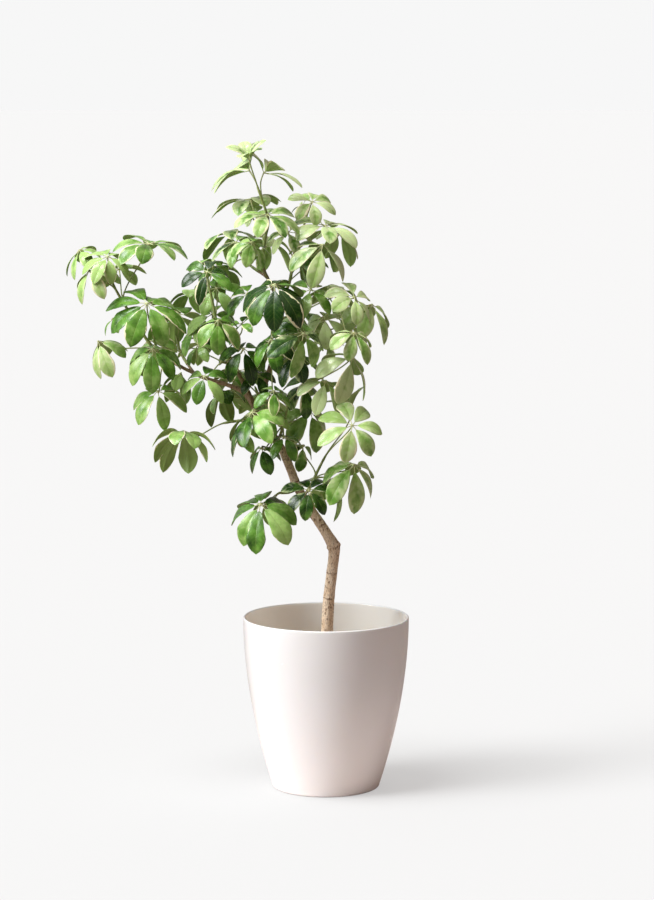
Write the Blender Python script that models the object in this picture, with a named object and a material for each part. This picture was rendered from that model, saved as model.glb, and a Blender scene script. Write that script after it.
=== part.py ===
"""Potted umbrella tree: a variegated dwarf umbrella tree in a tapered round planter.

Metres, +Z up, +Y away from the viewer. The origin is the centre of the planter's underside.
Sizes below are in millimetres and are scaled once, when the meshes are made.

The plant is laid out as a gardener would describe it: a trunk with its limbs, a leafy shoot on
each limb, and on each shoot the palmate leaves, given by where the hub of the leaf sits, how far
it reaches and which way its umbrella leans. Everything else follows from rules.
"""

import math
import random

import bpy
import bmesh
from mathutils import Vector
from mathutils.bvhtree import BVHTree

MM = 0.001
GAP = 0.3

# Planter
RIM_RADIUS = 150.0
BASE_RADIUS = 96.0
PLANTER_HEIGHT = 312.0
TAPER_POWER = 1.9
WALL = 4.0
FLOOR = 8.0
EDGE_ROUND = 5.0
TURN_STEPS = 30

# Potting soil
SOIL_LEVEL = 240.0
SOIL_MOUND = 7.0
SOIL_STEPS = 24
TRUNK_FOOT = 120.0

# Blades
BLADE_WIDTH = 0.38
STALK_SHARE = 0.17
STATIONS = (STALK_SHARE, 0.42, 0.68, 0.88, 1.0)
SMALL_STATIONS = (STALK_SHARE, 0.48, 0.82, 1.0)
SMALL_REACH = 77.0
HUB_SHARE = 0.045
STALK_HALF = 1.2
BLADE_KEEL = 1.3
PETIOLE_RADIUS = 1.5
NECK = 8.0
STEEPEST = 0.5
CLEARANCE = 2.0
TRIES = 300
ROUNDS = 5

# Trunk and limbs, from the foot up: points of the centre line, then the radii at both ends
TRUNK = [
    (0, 0, 120), (1, 0, 200), (2, 0, 285), (5, 0, 342), (10, 0, 388), (14, 0, 421),
    (14, 0, 440), (4, 0, 459), (-11, 5, 482), (-32, 10, 512), (-51, 15, 545),
    (-65, 18, 581), (-79, 20, 613), (-96, 20, 640), (-115, 18, 668), (-126, 15, 684),
]
TRUNK_RADII = (12.0, 6.6)
KNOB = [(8, 0, 432), (15, -1, 441), (23, -2, 449)]
KNOB_RADIUS = 8.5
TRUNK_SIDES = 9
TRUNK_RING = 33.0

# Each shoot: its centre line, how much of it is woody and belongs to the trunk, and its radii
SHOOTS = {
    "left_limb": dict(
        line=[(-126, 15, 678), (-135, 5, 709), (-147, -5, 735), (-161, -15, 765),
              (-178, -20, 798), (-194, -20, 843), (-203, -15, 887), (-212, -10, 925)],
        woody=118.0, radii=(5.6, 2.2)),
    "far_left": dict(
        line=[(-131, 10, 696), (-148, 16, 718), (-180, 22, 732), (-218, 25, 743),
              (-266, 20, 767), (-298, 12, 790), (-313, 0, 805), (-331, -5, 831),
              (-351, -10, 865), (-365, -12, 888), (-379, -15, 915), (-386, -15, 935)],
        woody=222.0, radii=(5.0, 2.0)),
    "left_front": dict(
        line=[(-266, 20, 767), (-276, 4, 775), (-288, -14, 784), (-300, -34, 800),
              (-306, -48, 825)],
        woody=30.0, radii=(3.4, 2.0)),
    "top": dict(
        line=[(-126, 15, 678), (-115, 20, 718), (-104, 25, 749), (-92, 25, 794),
              (-84, 20, 839), (-88, 15, 885), (-100, 10, 915), (-113, 10, 948),
              (-109, 10, 992), (-103, 5, 1028), (-114, 0, 1064), (-122, 0, 1088)],
        woody=288.0, radii=(6.2, 2.0)),
    "top_right": dict(
        line=[(-88, 16, 880), (-79, 24, 890), (-70, 30, 904), (-64, 30, 922),
              (-59, 30, 952), (-52, 30, 982), (-45, 28, 1005), (-36, 24, 1026)],
        woody=30.0, radii=(3.6, 2.0)),
    "right_upper": dict(
        line=[(-86, 18, 858), (-74, 8, 867), (-58, 0, 876), (-38, -6, 888),
              (-16, -12, 902), (4, -18, 912)],
        woody=28.0, radii=(3.6, 2.0)),
    "right": dict(
        line=[(-89, 24, 810), (-76, 14, 816), (-60, 6, 821), (-38, 0, 826), (-14, -8, 830),
              (6, -16, 832)],
        woody=30.0, radii=(3.8, 2.1)),
    "centre_front": dict(
        line=[(-95, 25, 785), (-97, 12, 796), (-98, -4, 808), (-97, -24, 822),
              (-95, -44, 838)],
        woody=26.0, radii=(3.8, 2.1)),
    "centre_left": dict(
        line=[(-161, -15, 765), (-167, -26, 770), (-176, -38, 776), (-187, -52, 780)],
        woody=20.0, radii=(3.4, 2.1)),
    "fork_left": dict(
        line=[(-118, 17, 672), (-130, 4, 672), (-146, -10, 671), (-164, -22, 670),
              (-182, -30, 668)],
        woody=32.0, radii=(3.6, 2.1)),
    "fork_right": dict(
        line=[(-88, 20, 628), (-83, 10, 640), (-78, -2, 656), (-72, -12, 680),
              (-68, -18, 706)],
        woody=26.0, radii=(3.4, 2.0)),
    "low_left": dict(
        line=[(-51, 15, 545), (-60, 4, 540), (-72, -8, 539), (-86, -22, 541)],
        woody=24.0, radii=(3.2, 2.2)),
    "low_right": dict(
        line=[(-42, 12, 529), (-36, -2, 538), (-30, -12, 548), (-24, -16, 560),
              (-14, -20, 582), (-2, -22, 606)],
        woody=28.0, radii=(3.6, 2.1)),
    "back_low": dict(
        line=[(-106, 20, 655), (-104, 34, 664), (-108, 52, 678), (-118, 72, 696),
              (-130, 88, 722)],
        woody=30.0, radii=(3.6, 2.1)),
    "back_right": dict(
        line=[(-86, 22, 826), (-78, 38, 832), (-64, 56, 838), (-48, 72, 846),
              (-34, 84, 862)],
        woody=30.0, radii=(3.6, 2.1)),
    "back_left": dict(
        line=[(-240, 23, 755), (-246, 38, 762), (-256, 54, 774), (-266, 66, 792),
              (-272, 74, 816)],
        woody=28.0, radii=(3.4, 2.0)),
    "back_upper": dict(
        line=[(-104, 10, 925), (-116, 24, 932), (-130, 42, 940), (-146, 56, 952),
              (-158, 66, 968)],
        woody=30.0, radii=(3.4, 2.0)),
}

# Each leaf: shoot, hub (x, y, z), reach of the longest leaflet, leaflets, compass direction the
# umbrella leans to (0 right, 90 away, 180 left, 270 viewer), lean from level, droop of the
# leaflets below the umbrella's plane
LEAVES = [
    ("top", (-132, 0, 1106), 66, 6, 180, 34, -34),
    ("top", (-110, -5, 1112), 56, 6, 0, 42, -30),
    ("top", (-104, -38, 1040), 76, 8, 280, 18, 2),
    ("top", (-128, 26, 1072), 80, 7, 200, 14, 2),
    ("top", (-120, 6, 1122), 40, 5, 270, 10, -58),
    ("top", (-132, 14, 1034), 34, 5, 240, 40, -20),
    ("top", (-155, -12, 990), 58, 6, 235, 28, 26),
    ("top", (-130, -45, 992), 60, 6, 290, 32, 28),
    ("top_right", (-25, 10, 1060), 56, 7, 300, 34, 2),
    ("top_right", (-45, 22, 1052), 28, 4, 180, 40, -10),
    ("top_right", (-5, -12, 1017), 74, 7, 315, 20, 2),
    ("top_right", (-5, -50, 988), 86, 6, 305, 38, 34),
    ("top_right", (-50, 0, 968), 66, 5, 180, 45, 52),
    ("top_right", (-70, -24, 1008), 54, 6, 275, 30, 24),
    ("top_right", (24, 78, 1000), 70, 6, 50, 32, 20),
    ("left_limb", (-210, -55, 940), 62, 6, 265, 44, 10),
    ("left_limb", (-200, 30, 952), 52, 6, 90, 18, 8),
    ("left_limb", (-210, -36, 868), 64, 6, 235, 34, 32),
    ("left_limb", (-190, -78, 856), 68, 6, 268, 36, 34),
    ("left_limb", (-155, -32, 852), 50, 5, 210, 28, 0),
    ("left_limb", (-195, -12, 912), 62, 6, 250, 34, 28),
    ("left_limb", (-232, -10, 835), 60, 6, 220, 30, 28),
    ("left_limb", (-235, 60, 885), 70, 6, 110, 30, 20),
    ("far_left", (-315, -12, 987), 82, 8, 325, 12, 4),
    ("far_left", (-440, 0, 975), 56, 6, 205, 28, 22),
    ("far_left", (-415, -46, 946), 70, 5, 225, 30, 32),
    ("far_left", (-385, -52, 967), 60, 8, 285, 28, 22),
    ("far_left", (-383, 22, 851), 36, 4, 200, 35, 25),
    ("far_left", (-372, 45, 938), 62, 6, 110, 24, 12),
    ("left_front", (-315, -78, 886), 94, 8, 284, 40, 18),
    ("left_front", (-305, -92, 806), 78, 7, 265, 32, 36),
    ("left_front", (-405, -40, 816), 78, 6, 215, 34, 48),
    ("left_front", (-305, -54, 731), 72, 6, 268, 40, 40),
    ("left_front", (-262, 10, 752), 60, 5, 70, 30, 52),
    ("centre_left", (-215, -72, 756), 60, 6, 270, 44, 18),
    ("centre_left", (-222, -15, 803), 48, 5, 215, 34, 28),
    ("centre_left", (-150, -72, 806), 70, 6, 268, 36, 36),
    ("centre_left", (-125, -32, 751), 48, 5, 245, 34, 36),
    ("centre_front", (-90, -112, 922), 94, 8, 262, 36, 32),
    ("centre_front", (-95, -92, 822), 64, 7, 255, 32, 30),
    ("centre_front", (-95, 28, 875), 54, 6, 90, 24, 16),
    ("centre_front", (-90, -48, 729), 50, 5, 270, 36, 28),
    ("centre_front", (-135, -45, 905), 58, 6, 240, 40, 20),
    ("centre_front", (-60, -40, 790), 66, 6, 285, 36, 40),
    ("right_upper", (50, -55, 895), 64, 6, 305, 44, 14),
    ("right_upper", (82, -20, 879), 84, 6, 318, 34, 40),
    ("right_upper", (50, -86, 836), 62, 6, 308, 34, 32),
    ("right", (-42, -74, 846), 80, 7, 285, 42, 36),
    ("right_upper", (-30, -40, 905), 60, 6, 300, 34, 30),
    ("right", (5, -75, 856), 62, 6, 290, 34, 30),
    ("fork_right", (46, -62, 792), 88, 5, 320, 38, 40),
    ("right", (0, -46, 746), 68, 6, 300, 32, 28),
    ("right", (5, -18, 800), 38, 5, 250, 30, 18),
    ("right", (38, 52, 848), 70, 6, 40, 30, 14),
    ("right", (-38, -20, 745), 74, 5, 280, 40, 50),
    ("fork_left", (-150, 0, 650), 52, 5, 200, 34, 30),
    ("fork_left", (-135, -64, 694), 84, 8, 216, 30, 20),
    ("fork_left", (-255, -15, 653), 86, 8, 92, 34, 44),
    ("fork_right", (-98, -54, 683), 46, 6, 265, 30, 24),
    ("fork_right", (-75, -46, 646), 54, 6, 270, 24, 20),
    ("fork_right", (-30, -12, 681), 84, 6, 300, 38, 56),
    ("fork_right", (-112, -32, 621), 56, 5, 240, 40, 46),
    ("low_left", (-120, -72, 533), 96, 8, 264, 38, 36),
    ("low_left", (-105, -10, 528), 52, 4, 120, 40, 30),
    ("low_right", (-30, -55, 551), 58, 7, 270, 44, 12),
    ("low_right", (16, 34, 560), 84, 4, 30, 46, 40),
    ("low_right", (50, -60, 598), 88, 7, 295, 36, 38),
    ("low_right", (42, -82, 673), 74, 7, 285, 46, 4),
    ("low_right", (46, 14, 690), 58, 5, 180, 15, -48),
    ("low_right", (-42, -32, 629), 52, 4, 290, 42, 56),
    ("back_low", (-100, 110, 700), 80, 6, 75, 34, 28),
    ("back_low", (-150, 125, 750), 84, 6, 100, 32, 24),
    ("back_low", (-190, 80, 715), 74, 6, 130, 36, 32),
    ("back_right", (-40, 125, 850), 86, 6, 85, 32, 26),
    ("back_right", (30, 100, 900), 76, 6, 50, 34, 28),
    ("back_right", (-90, 110, 800), 72, 6, 100, 36, 34),
    ("back_left", (-270, 120, 860), 84, 6, 100, 32, 26),
    ("back_left", (-325, 85, 805), 76, 6, 140, 34, 30),
    ("back_left", (-228, 132, 800), 68, 6, 80, 30, 24),
    ("back_upper", (-175, 100, 1000), 78, 6, 110, 26, 22),
    ("back_upper", (-100, 138, 985), 70, 6, 70, 32, 24),
    ("back_upper", (-200, 115, 935), 70, 6, 120, 36, 30),
]

MATERIALS = {
    "planter": ((0.83, 0.79, 0.74), 0.16, 0.0),
    "potting_soil": ((0.05, 0.035, 0.024), 0.95, 0.0),
    "trunk": ((0.47, 0.38, 0.26), 0.75, 0.0),
    "leaves": ((0.09, 0.2, 0.045), 0.32, 0.0),
}


def material(name):
    """Returns the named Principled material, made on first use."""
    found = bpy.data.materials.get(name)
    if found:
        return found
    colour, roughness, metallic = MATERIALS[name]
    made = bpy.data.materials.new(name)
    made.use_nodes = True
    shader = made.node_tree.nodes["Principled BSDF"]
    shader.inputs["Base Color"].default_value = (*colour, 1.0)
    shader.inputs["Roughness"].default_value = roughness
    shader.inputs["Metallic"].default_value = metallic
    return made


def new_object(name, verts, faces, slot, collection=None):
    """Makes a mesh object from millimetre points, with its faces pointing out."""
    mesh = bpy.data.meshes.new(name)
    mesh.from_pydata([Vector(v) * MM for v in verts], [], faces)
    shape = bmesh.new()
    shape.from_mesh(mesh)
    bmesh.ops.recalc_face_normals(shape, faces=shape.faces)
    if shape.calc_volume(signed=True) < 0:
        bmesh.ops.reverse_faces(shape, faces=shape.faces)
    shape.to_mesh(mesh)
    shape.free()
    mesh.materials.append(material(slot))
    made = bpy.data.objects.new(name, mesh)
    (collection or bpy.context.scene.collection).objects.link(made)
    return made


def smooth_line(points, step):
    """Returns evenly spread points on a smooth curve through the given points."""
    pts = [Vector(p) for p in points]
    pts = [pts[0] * 2 - pts[1]] + pts + [pts[-1] * 2 - pts[-2]]
    fine = []
    for i in range(1, len(pts) - 2):
        a, b, c, d = pts[i - 1:i + 3]
        for k in range(12):
            t = k / 12
            fine.append(0.5 * (2 * b + (c - a) * t + (2 * a - 5 * b + 4 * c - d) * t ** 2
                               + (3 * b - a - 3 * c + d) * t ** 3))
    fine.append(pts[-2])
    return even(fine, step)


def even(fine, step):
    """Spreads points evenly along a polyline, about one step apart."""
    reach = [0.0]
    for p, q in zip(fine, fine[1:]):
        reach.append(reach[-1] + (q - p).length)
    count = max(2, round(reach[-1] / step))
    out = []
    for k in range(count + 1):
        want = reach[-1] * k / count
        i = 0
        while i < len(fine) - 2 and reach[i + 1] < want:
            i += 1
        share = (want - reach[i]) / max(reach[i + 1] - reach[i], 1e-9)
        out.append(fine[i].lerp(fine[i + 1], min(share, 1.0)))
    return out


def part_of(line, start, end):
    """Cuts a stretch out of a fine polyline, by distance along it."""
    out = []
    run = 0.0
    for p, q in zip(line, line[1:]):
        length = (q - p).length
        if start <= run <= end:
            out.append(p)
        for mark in (start, end):
            if run < mark < run + length:
                out.append(p.lerp(q, (mark - run) / length))
        run += length
    if run <= end:
        out.append(line[-1])
    return out


def line_length(line):
    """Returns the length of a polyline."""
    return sum((q - p).length for p, q in zip(line, line[1:]))


def frames(line, ends=(None, None)):
    """Returns a side vector and an up vector at each point, carried along without twist.

    The directions of the two ends can be given.
    """
    out = []
    side = None
    for i, p in enumerate(line):
        ahead = (line[min(i + 1, len(line) - 1)] - line[max(i - 1, 0)]).normalized()
        if i == 0 and ends[0]:
            ahead = ends[0]
        if i == len(line) - 1 and ends[1]:
            ahead = ends[1]
        if side is None:
            side = ahead.orthogonal().normalized()
        side = (side - ahead * side.dot(ahead)).normalized()
        out.append((side, ahead.cross(side)))
    return out


def tube(line, radius_at, sides, ends=(None, None)):
    """Returns the points and faces of a closed tube with flat ends."""
    verts = []
    faces = []
    for i, (p, (side, up)) in enumerate(zip(line, frames(line, ends))):
        radius = radius_at(i / (len(line) - 1))
        for k in range(sides):
            turn = 2 * math.pi * k / sides
            verts.append(p + (side * math.cos(turn) + up * math.sin(turn)) * radius)
    for i in range(len(line) - 1):
        for k in range(sides):
            a = i * sides + k
            b = i * sides + (k + 1) % sides
            faces.append((a, b, b + sides, a + sides))
    faces.append(tuple(reversed(range(sides))))
    faces.append(tuple(range(len(verts) - sides, len(verts))))
    return verts, faces


def fuse(name, solids, slot):
    """Joins the solids of one grown piece into one body with a Boolean union."""
    body = new_object(name, *solids[0], slot)
    if len(solids) > 1:
        others = bpy.data.collections.new(name + "_repeats")
        bpy.context.scene.collection.children.link(others)
        for index, (verts, faces) in enumerate(solids[1:]):
            new_object(f"{name}_{index}", verts, faces, slot, others)
        union = body.modifiers.new("union", "BOOLEAN")
        union.operation = "UNION"
        union.operand_type = "COLLECTION"
        union.collection = others
        union.solver = "MANIFOLD"
        evaluated = body.evaluated_get(bpy.context.evaluated_depsgraph_get())
        joined = bpy.data.meshes.new_from_object(evaluated)
        body.modifiers.clear()
        body.data = joined
        for repeat in list(others.objects):
            bpy.data.objects.remove(repeat)
        bpy.data.collections.remove(others)
    shape = bmesh.new()
    shape.from_mesh(body.data)
    bmesh.ops.triangulate(shape, faces=shape.faces)
    shape.to_mesh(body.data)
    shape.free()
    body.data.shade_smooth()
    body.data.set_sharp_from_angle(angle=math.radians(35))
    return body


def turned(name, profile, steps, slot):
    """Turns a profile, listed down its outer side first, round the upright axis."""
    mesh = bpy.data.meshes.new(name)
    points = [(x * MM, 0.0, z * MM) for x, z in profile]
    mesh.from_pydata(points, [(i, i + 1) for i in range(len(points) - 1)], [])
    mesh.materials.append(material(slot))
    made = bpy.data.objects.new(name, mesh)
    bpy.context.scene.collection.objects.link(made)
    screw = made.modifiers.new("turn", "SCREW")
    screw.axis = "Z"
    screw.steps = steps
    screw.render_steps = steps
    screw.use_merge_vertices = True
    screw.merge_threshold = 0.00005
    screw.use_smooth_shade = True
    return made


def outer_radius(z):
    """Returns the planter's outer radius at a height."""
    share = min(max(z / PLANTER_HEIGHT, 0.0), 1.0)
    return BASE_RADIUS + (RIM_RADIUS - BASE_RADIUS) * (1 - (1 - share) ** TAPER_POWER)


def inner_radius(z):
    """Returns the planter's inner radius at a height."""
    return outer_radius(z) - WALL - 2.0 * (1 - z / PLANTER_HEIGHT)


def make_planter():
    """Makes the planter as one turned shell with a rounded lip and base edge."""
    lip = WALL / 2
    profile = []
    for k in range(3):
        turn = math.radians(90 - 45 * k)
        profile.append((RIM_RADIUS - lip + lip * math.cos(turn),
                        PLANTER_HEIGHT - lip + lip * math.sin(turn)))
    for k in range(1, 7):
        z = (PLANTER_HEIGHT - lip) * (1 - k / 7)
        profile.append((outer_radius(z), z))
    for k in range(3):
        turn = math.radians(12 + 39 * k)
        profile.append((outer_radius(EDGE_ROUND) - EDGE_ROUND + EDGE_ROUND * math.cos(turn),
                        EDGE_ROUND - EDGE_ROUND * math.sin(turn)))
    profile[-1] = (profile[-1][0], 0.0)
    profile.append((0.0, 0.0))
    profile.append((0.0, FLOOR))
    for k in range(6):
        z = FLOOR + (PLANTER_HEIGHT - lip - FLOOR) * k / 5
        profile.append((inner_radius(z), z))
    profile[-1] = (RIM_RADIUS - 2 * lip, PLANTER_HEIGHT - lip)
    profile.append((RIM_RADIUS - lip - lip * math.cos(math.radians(45)),
                    PLANTER_HEIGHT - lip + lip * math.sin(math.radians(45))))
    profile.append(profile[0])
    outside = profile[1:profile.index((0.0, 0.0)) + 1]
    inside = profile[profile.index((0.0, FLOOR)):]
    return turned("planter", inside + outside, TURN_STEPS, "planter")


def make_soil():
    """Makes the soil as one turned filling with a plain hole for the trunk's foot."""
    hole = TRUNK_RADII[0] + 1.2 + GAP
    profile = [(hole, SOIL_LEVEL + SOIL_MOUND)]
    for share in (0.3, 0.62):
        radius = hole + (inner_radius(SOIL_LEVEL) - hole) * share
        profile.append((radius, SOIL_LEVEL + SOIL_MOUND * (1 - share) ** 1.5))
    for k in range(4):
        z = SOIL_LEVEL + (FLOOR + GAP - SOIL_LEVEL) * k / 3
        profile.append((inner_radius(z) * math.cos(math.pi / TURN_STEPS) - GAP - 1.2, z))
    profile.append((0.0, FLOOR + GAP))
    profile = [(0.0, TRUNK_FOOT - GAP), (hole, TRUNK_FOOT - GAP)] + profile
    return turned("potting_soil", profile, SOIL_STEPS, "potting_soil")


def trunk_radius(share):
    """Returns the trunk's radius, thicker where it leaves the soil and at the old cut."""
    low, high = TRUNK_RADII
    bulge = 1.6 * math.exp(-((share - 0.535) / 0.03) ** 2)
    return low + (high - low) * share ** 1.3 + bulge


def shoot_line(name):
    """Returns a shoot's whole centre line as a fine polyline."""
    return smooth_line(SHOOTS[name]["line"], 4.0)


def shoot_radius(name, at, length):
    """Returns a shoot's radius at a distance along its line."""
    low, high = SHOOTS[name]["radii"]
    return low + (high - low) * (at / length) ** 0.7


def stem_rings(name, woody):
    """Returns where the woody or the green stretch runs, and the centres of its rings."""
    line = shoot_line(name)
    length = line_length(line)
    split = SHOOTS[name]["woody"]
    start, end = (0.0, split) if woody else (split + GAP, length)
    return start, end, length, even(part_of(line, start, end), 36.0 if woody else 30.0)


def stem_solid(name, woody):
    """Returns the woody or the green stretch of a shoot as a tube.

    The two stretches face each other square across a thin gap.
    """
    start, end, length, rings = stem_rings(name, woody)
    sides = 7 if SHOOTS[name]["radii"][0] > 4.5 else 5
    split = SHOOTS[name]["woody"]
    across = part_of(shoot_line(name), split - 3.0, split + 3.0)
    ahead = (across[-1] - across[0]).normalized()
    ends = (None, ahead) if woody else (ahead, None)
    return tube(rings, lambda t: shoot_radius(name, start + (end - start) * t, length),
                sides, ends)


def trunk_solids():
    """Returns the trunk, its knob and the woody stretch of each shoot."""
    solids = [tube(smooth_line(TRUNK, TRUNK_RING), trunk_radius, TRUNK_SIDES)]
    solids.append(tube([Vector(p) for p in KNOB], lambda t: KNOB_RADIUS - 1.5 * t * t, 7))
    for name in SHOOTS:
        solids.append(stem_solid(name, True))
    return solids


class Pose:
    """Where a palmate leaf sits and how its umbrella leans."""

    def __init__(self, leaf, seed, line, rng=None, amount=0.0):
        name, hub, reach, count, azimuth, lean, droop = leaf
        spare = [0.0] * 7
        if rng:
            spare = [rng.uniform(-1, 1) * amount for _ in spare]
        own = random.Random(seed)
        self.uneven = [[own.uniform(-1, 1) for _ in range(3)] for _ in range(count)]
        self.shoot = name
        self.hub = Vector(hub) + Vector((14 * spare[0], 45 * spare[1], 14 * spare[2]))
        self.reach = reach
        self.count = count
        self.small = reach < SMALL_REACH or hub[1] > 60
        self.azimuth = math.radians(azimuth + 35 * spare[3])
        self.lean = math.radians(lean + 14 * spare[4])
        self.droop = math.radians(droop * (1 - 0.3 * amount) + 10 * spare[6])
        around = Vector((math.cos(self.azimuth), math.sin(self.azimuth), 0.0))
        self.up = around * math.sin(self.lean) + Vector((0, 0, 1)) * math.cos(self.lean)
        self.down = around * math.cos(self.lean) - Vector((0, 0, 1)) * math.sin(self.lean)
        self.across = self.up.cross(self.down)
        self.root = petiole_root(self, line)
        back = self.root - self.hub
        gap = math.atan2(back.dot(self.across), back.dot(self.down))
        self.roll = gap + math.pi / count * (1 + 0.3 * spare[5])
        self.stalk = (back.normalized() - self.up * 0.8).normalized()
        steepest = max(STEEPEST, math.cos(math.radians(75) - max(self.droop, 0.0)))
        for _ in range(3):
            steep = max(-self.stalk.dot(self.up), 0.0)
            if steep < steepest:
                self.stalk = (self.stalk - self.up * (steepest - steep) * 1.5).normalized()
        self.ribs = [leaflet_line(self, index) for index in range(count)]
        self.halves = [blade_halves(self, index) for index in range(count)]


def leaflet_line(pose, index):
    """Returns the stations of a leaflet's midrib, each with its side and upper vectors.

    The leaflets on the petiole's side are smaller, and no two are quite alike.
    """
    uneven = pose.uneven[index]
    turn = pose.roll + 2 * math.pi * (index + 0.12 * uneven[0]) / pose.count
    droop = pose.droop + 0.2 * uneven[1]
    out = pose.down * math.cos(turn) + pose.across * math.sin(turn)
    ahead = out * math.cos(droop) - pose.up * math.sin(droop)
    face = pose.up * math.cos(droop) + out * math.sin(droop)
    reach = pose.reach * (0.88 + 0.08 * math.cos(turn) + 0.09 * uneven[2])
    point = pose.hub.copy()
    stations = []
    last = 0.0
    for share in SMALL_STATIONS if pose.small else STATIONS:
        step = share - last
        bend = 0.62 * (share + last) / 2 if pose.droop < 0.7 else 0.2
        ahead = (ahead - face * bend * step + Vector((0, 0, -0.5)) * step * last).normalized()
        face = (face - ahead * face.dot(ahead)).normalized()
        point = point + ahead * reach * step
        stations.append((point.copy(), ahead.cross(face), face.copy(), share))
        last = share
    return stations


def blade_halves(pose, index):
    """Returns half the width of a leaflet at each station: blunt, and widest past the middle.

    A leaflet keeps clear of its neighbours, so it is narrower where they hang close.
    """
    halves = []
    for k, (point, side, face, share) in enumerate(pose.ribs[index]):
        along = (share - STALK_SHARE) / (1 - STALK_SHARE)
        outline = math.sin(math.pi * along ** 1.15) ** 0.62 if 0 < along < 1 else 0.0
        room = min((pose.ribs[index - 1][k][0] - point).length,
                   (pose.ribs[(index + 1) % pose.count][k][0] - point).length)
        wanted = max(STALK_HALF, outline * BLADE_WIDTH / 2 * pose.reach)
        halves.append(min(wanted, max(0.43 * room, 0.6)))
    return halves


def petiole_root(pose, line):
    """Returns where a petiole leaves its stem: some way below its hub."""
    aim = pose.hub - Vector((0, 0, 0.9 * pose.reach))
    return min(line[1:-1], key=lambda p: (p - aim).length)


def petiole_line(pose, line):
    """Returns the petiole's centre line, from inside the stem up to the hub."""
    start = pose.root
    end = neck(pose, NECK)
    base = line.index(start)
    along = (line[base + 1] - line[base - 1]).normalized()
    span = (end - start).length
    ahead = (end - start).normalized()
    first = start + (ahead + along * 0.5 + Vector((0, 0, 0.2))).normalized() * span * 0.35
    second = end + pose.stalk * span * 0.3
    count = max(2, min(3, round(span / 40)))
    out = []
    for k in range(count + 1):
        t = k / count
        out.append(start * (1 - t) ** 3 + first * 3 * t * (1 - t) ** 2
                   + second * 3 * t * t * (1 - t) + end * t ** 3)
    out.append(neck(pose, 0.0))
    return out


def neck(pose, below):
    """Returns a point of the petiole below the underside of the hub."""
    under = pose.hub - pose.up * (2.0 + 2.0 * max(math.sin(pose.droop), 0.0))
    return under + pose.stalk * below


def bridge(outer, inner):
    """Joins two rings of (angle, index), both in rising order, with triangles."""
    faces = []
    i = j = 0
    full = 2 * math.pi
    while i < len(outer) or j < len(inner):
        next_i = outer[(i + 1) % len(outer)][0] + full * ((i + 1) // len(outer))
        next_j = inner[(j + 1) % len(inner)][0] + full * ((j + 1) // len(inner))
        a = outer[i % len(outer)][1]
        b = inner[j % len(inner)][1]
        if j >= len(inner) or (i < len(outer) and next_i <= next_j):
            faces.append((a, outer[(i + 1) % len(outer)][1], b))
            i += 1
        else:
            faces.append((a, inner[(j + 1) % len(inner)][1], b))
            j += 1
    return faces


def leaf_solid(pose, line, spare=0.0, petiole=True):
    """Returns one palmate leaf with its petiole as one closed solid.

    Each leaflet is a thin keeled blade. The leaflets meet in notches round the hub, whose
    underside runs on into the three-sided petiole.
    """
    verts = []
    faces = []
    notches = []
    web = HUB_SHARE * pose.reach + 1.0
    for i in range(pose.count):
        turn = pose.roll + 2 * math.pi * (i + 0.5) / pose.count
        out = pose.down * math.cos(turn) + pose.across * math.sin(turn)
        slope = out * math.cos(pose.droop) - pose.up * math.sin(pose.droop)
        verts.append(pose.hub + slope * web - pose.up * 0.3)
        notches.append((turn % (2 * math.pi), i))
    crown = len(verts)
    verts.append(pose.hub + pose.up * (1.3 + spare))
    for i in range(pose.count):
        before = (i - 1) % pose.count
        stations = pose.ribs[i]
        rings = []
        for (point, side, face, share), wide in zip(stations[:-1], pose.halves[i]):
            half = wide + spare
            keel = max(BLADE_KEEL, 0.16 * half) + spare
            lift = 0.10 * half + spare
            base = len(verts)
            verts.append(point + side * half + face * lift)
            verts.append(point - side * half + face * lift)
            verts.append(point - face * keel)
            rings.append((base, base + 1, base + 2))
        tip = len(verts)
        verts.append(stations[-1][0])
        left, right, low = rings[0]
        faces += [(crown, before, left), (crown, left, right), (crown, right, i)]
        faces += [(before, left, low), (before, low, i), (low, right, i)]
        for (a, b, c), (d, e, f) in zip(rings, rings[1:]):
            faces += [(a, b, e), (a, e, d), (a, d, f), (a, f, c), (b, c, f), (b, f, e)]
        a, b, c = rings[-1]
        faces += [(a, b, tip), (a, tip, c), (b, c, tip)]
    centre = petiole_line(pose, line) if petiole else [neck(pose, NECK), neck(pose, 0.0)]
    sides = frames(centre)
    rings = []
    for point, (side, up) in zip(centre, sides):
        base = len(verts)
        for k in range(3):
            turn = 2 * math.pi * k / 3
            verts.append(point + (side * math.cos(turn) + up * math.sin(turn))
                         * (PETIOLE_RADIUS + spare))
        rings.append([base, base + 1, base + 2])
    for low, high in zip(rings, rings[1:]):
        for k in range(3):
            a, b = low[k], low[(k + 1) % 3]
            c, d = high[(k + 1) % 3], high[k]
            faces += [(a, b, c), (a, c, d)]
    faces.append(tuple(rings[0]))
    collar = []
    for index in rings[-1]:
        arm = verts[index] - pose.hub
        turn = math.atan2(arm.dot(pose.across), arm.dot(pose.down)) % (2 * math.pi)
        collar.append((turn, index))
    notches.sort()
    collar.sort()
    faces += bridge(notches, collar)
    return verts, faces


class Placed:
    """A solid that is already in its place, with a tree for crossing tests."""

    def __init__(self, solid, stem_of=None):
        verts, faces = solid
        self.tree = BVHTree.FromPolygons(verts, faces)
        self.stem_of = stem_of
        self.low = Vector([min(v[k] for v in verts) for k in range(3)])
        self.high = Vector([max(v[k] for v in verts) for k in range(3)])

    def meets(self, other):
        """Says whether the surfaces of two solids cross."""
        for k in range(3):
            if self.low[k] > other.high[k] or other.low[k] > self.high[k]:
                return False
        return bool(self.tree.overlap(other.tree))


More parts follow.
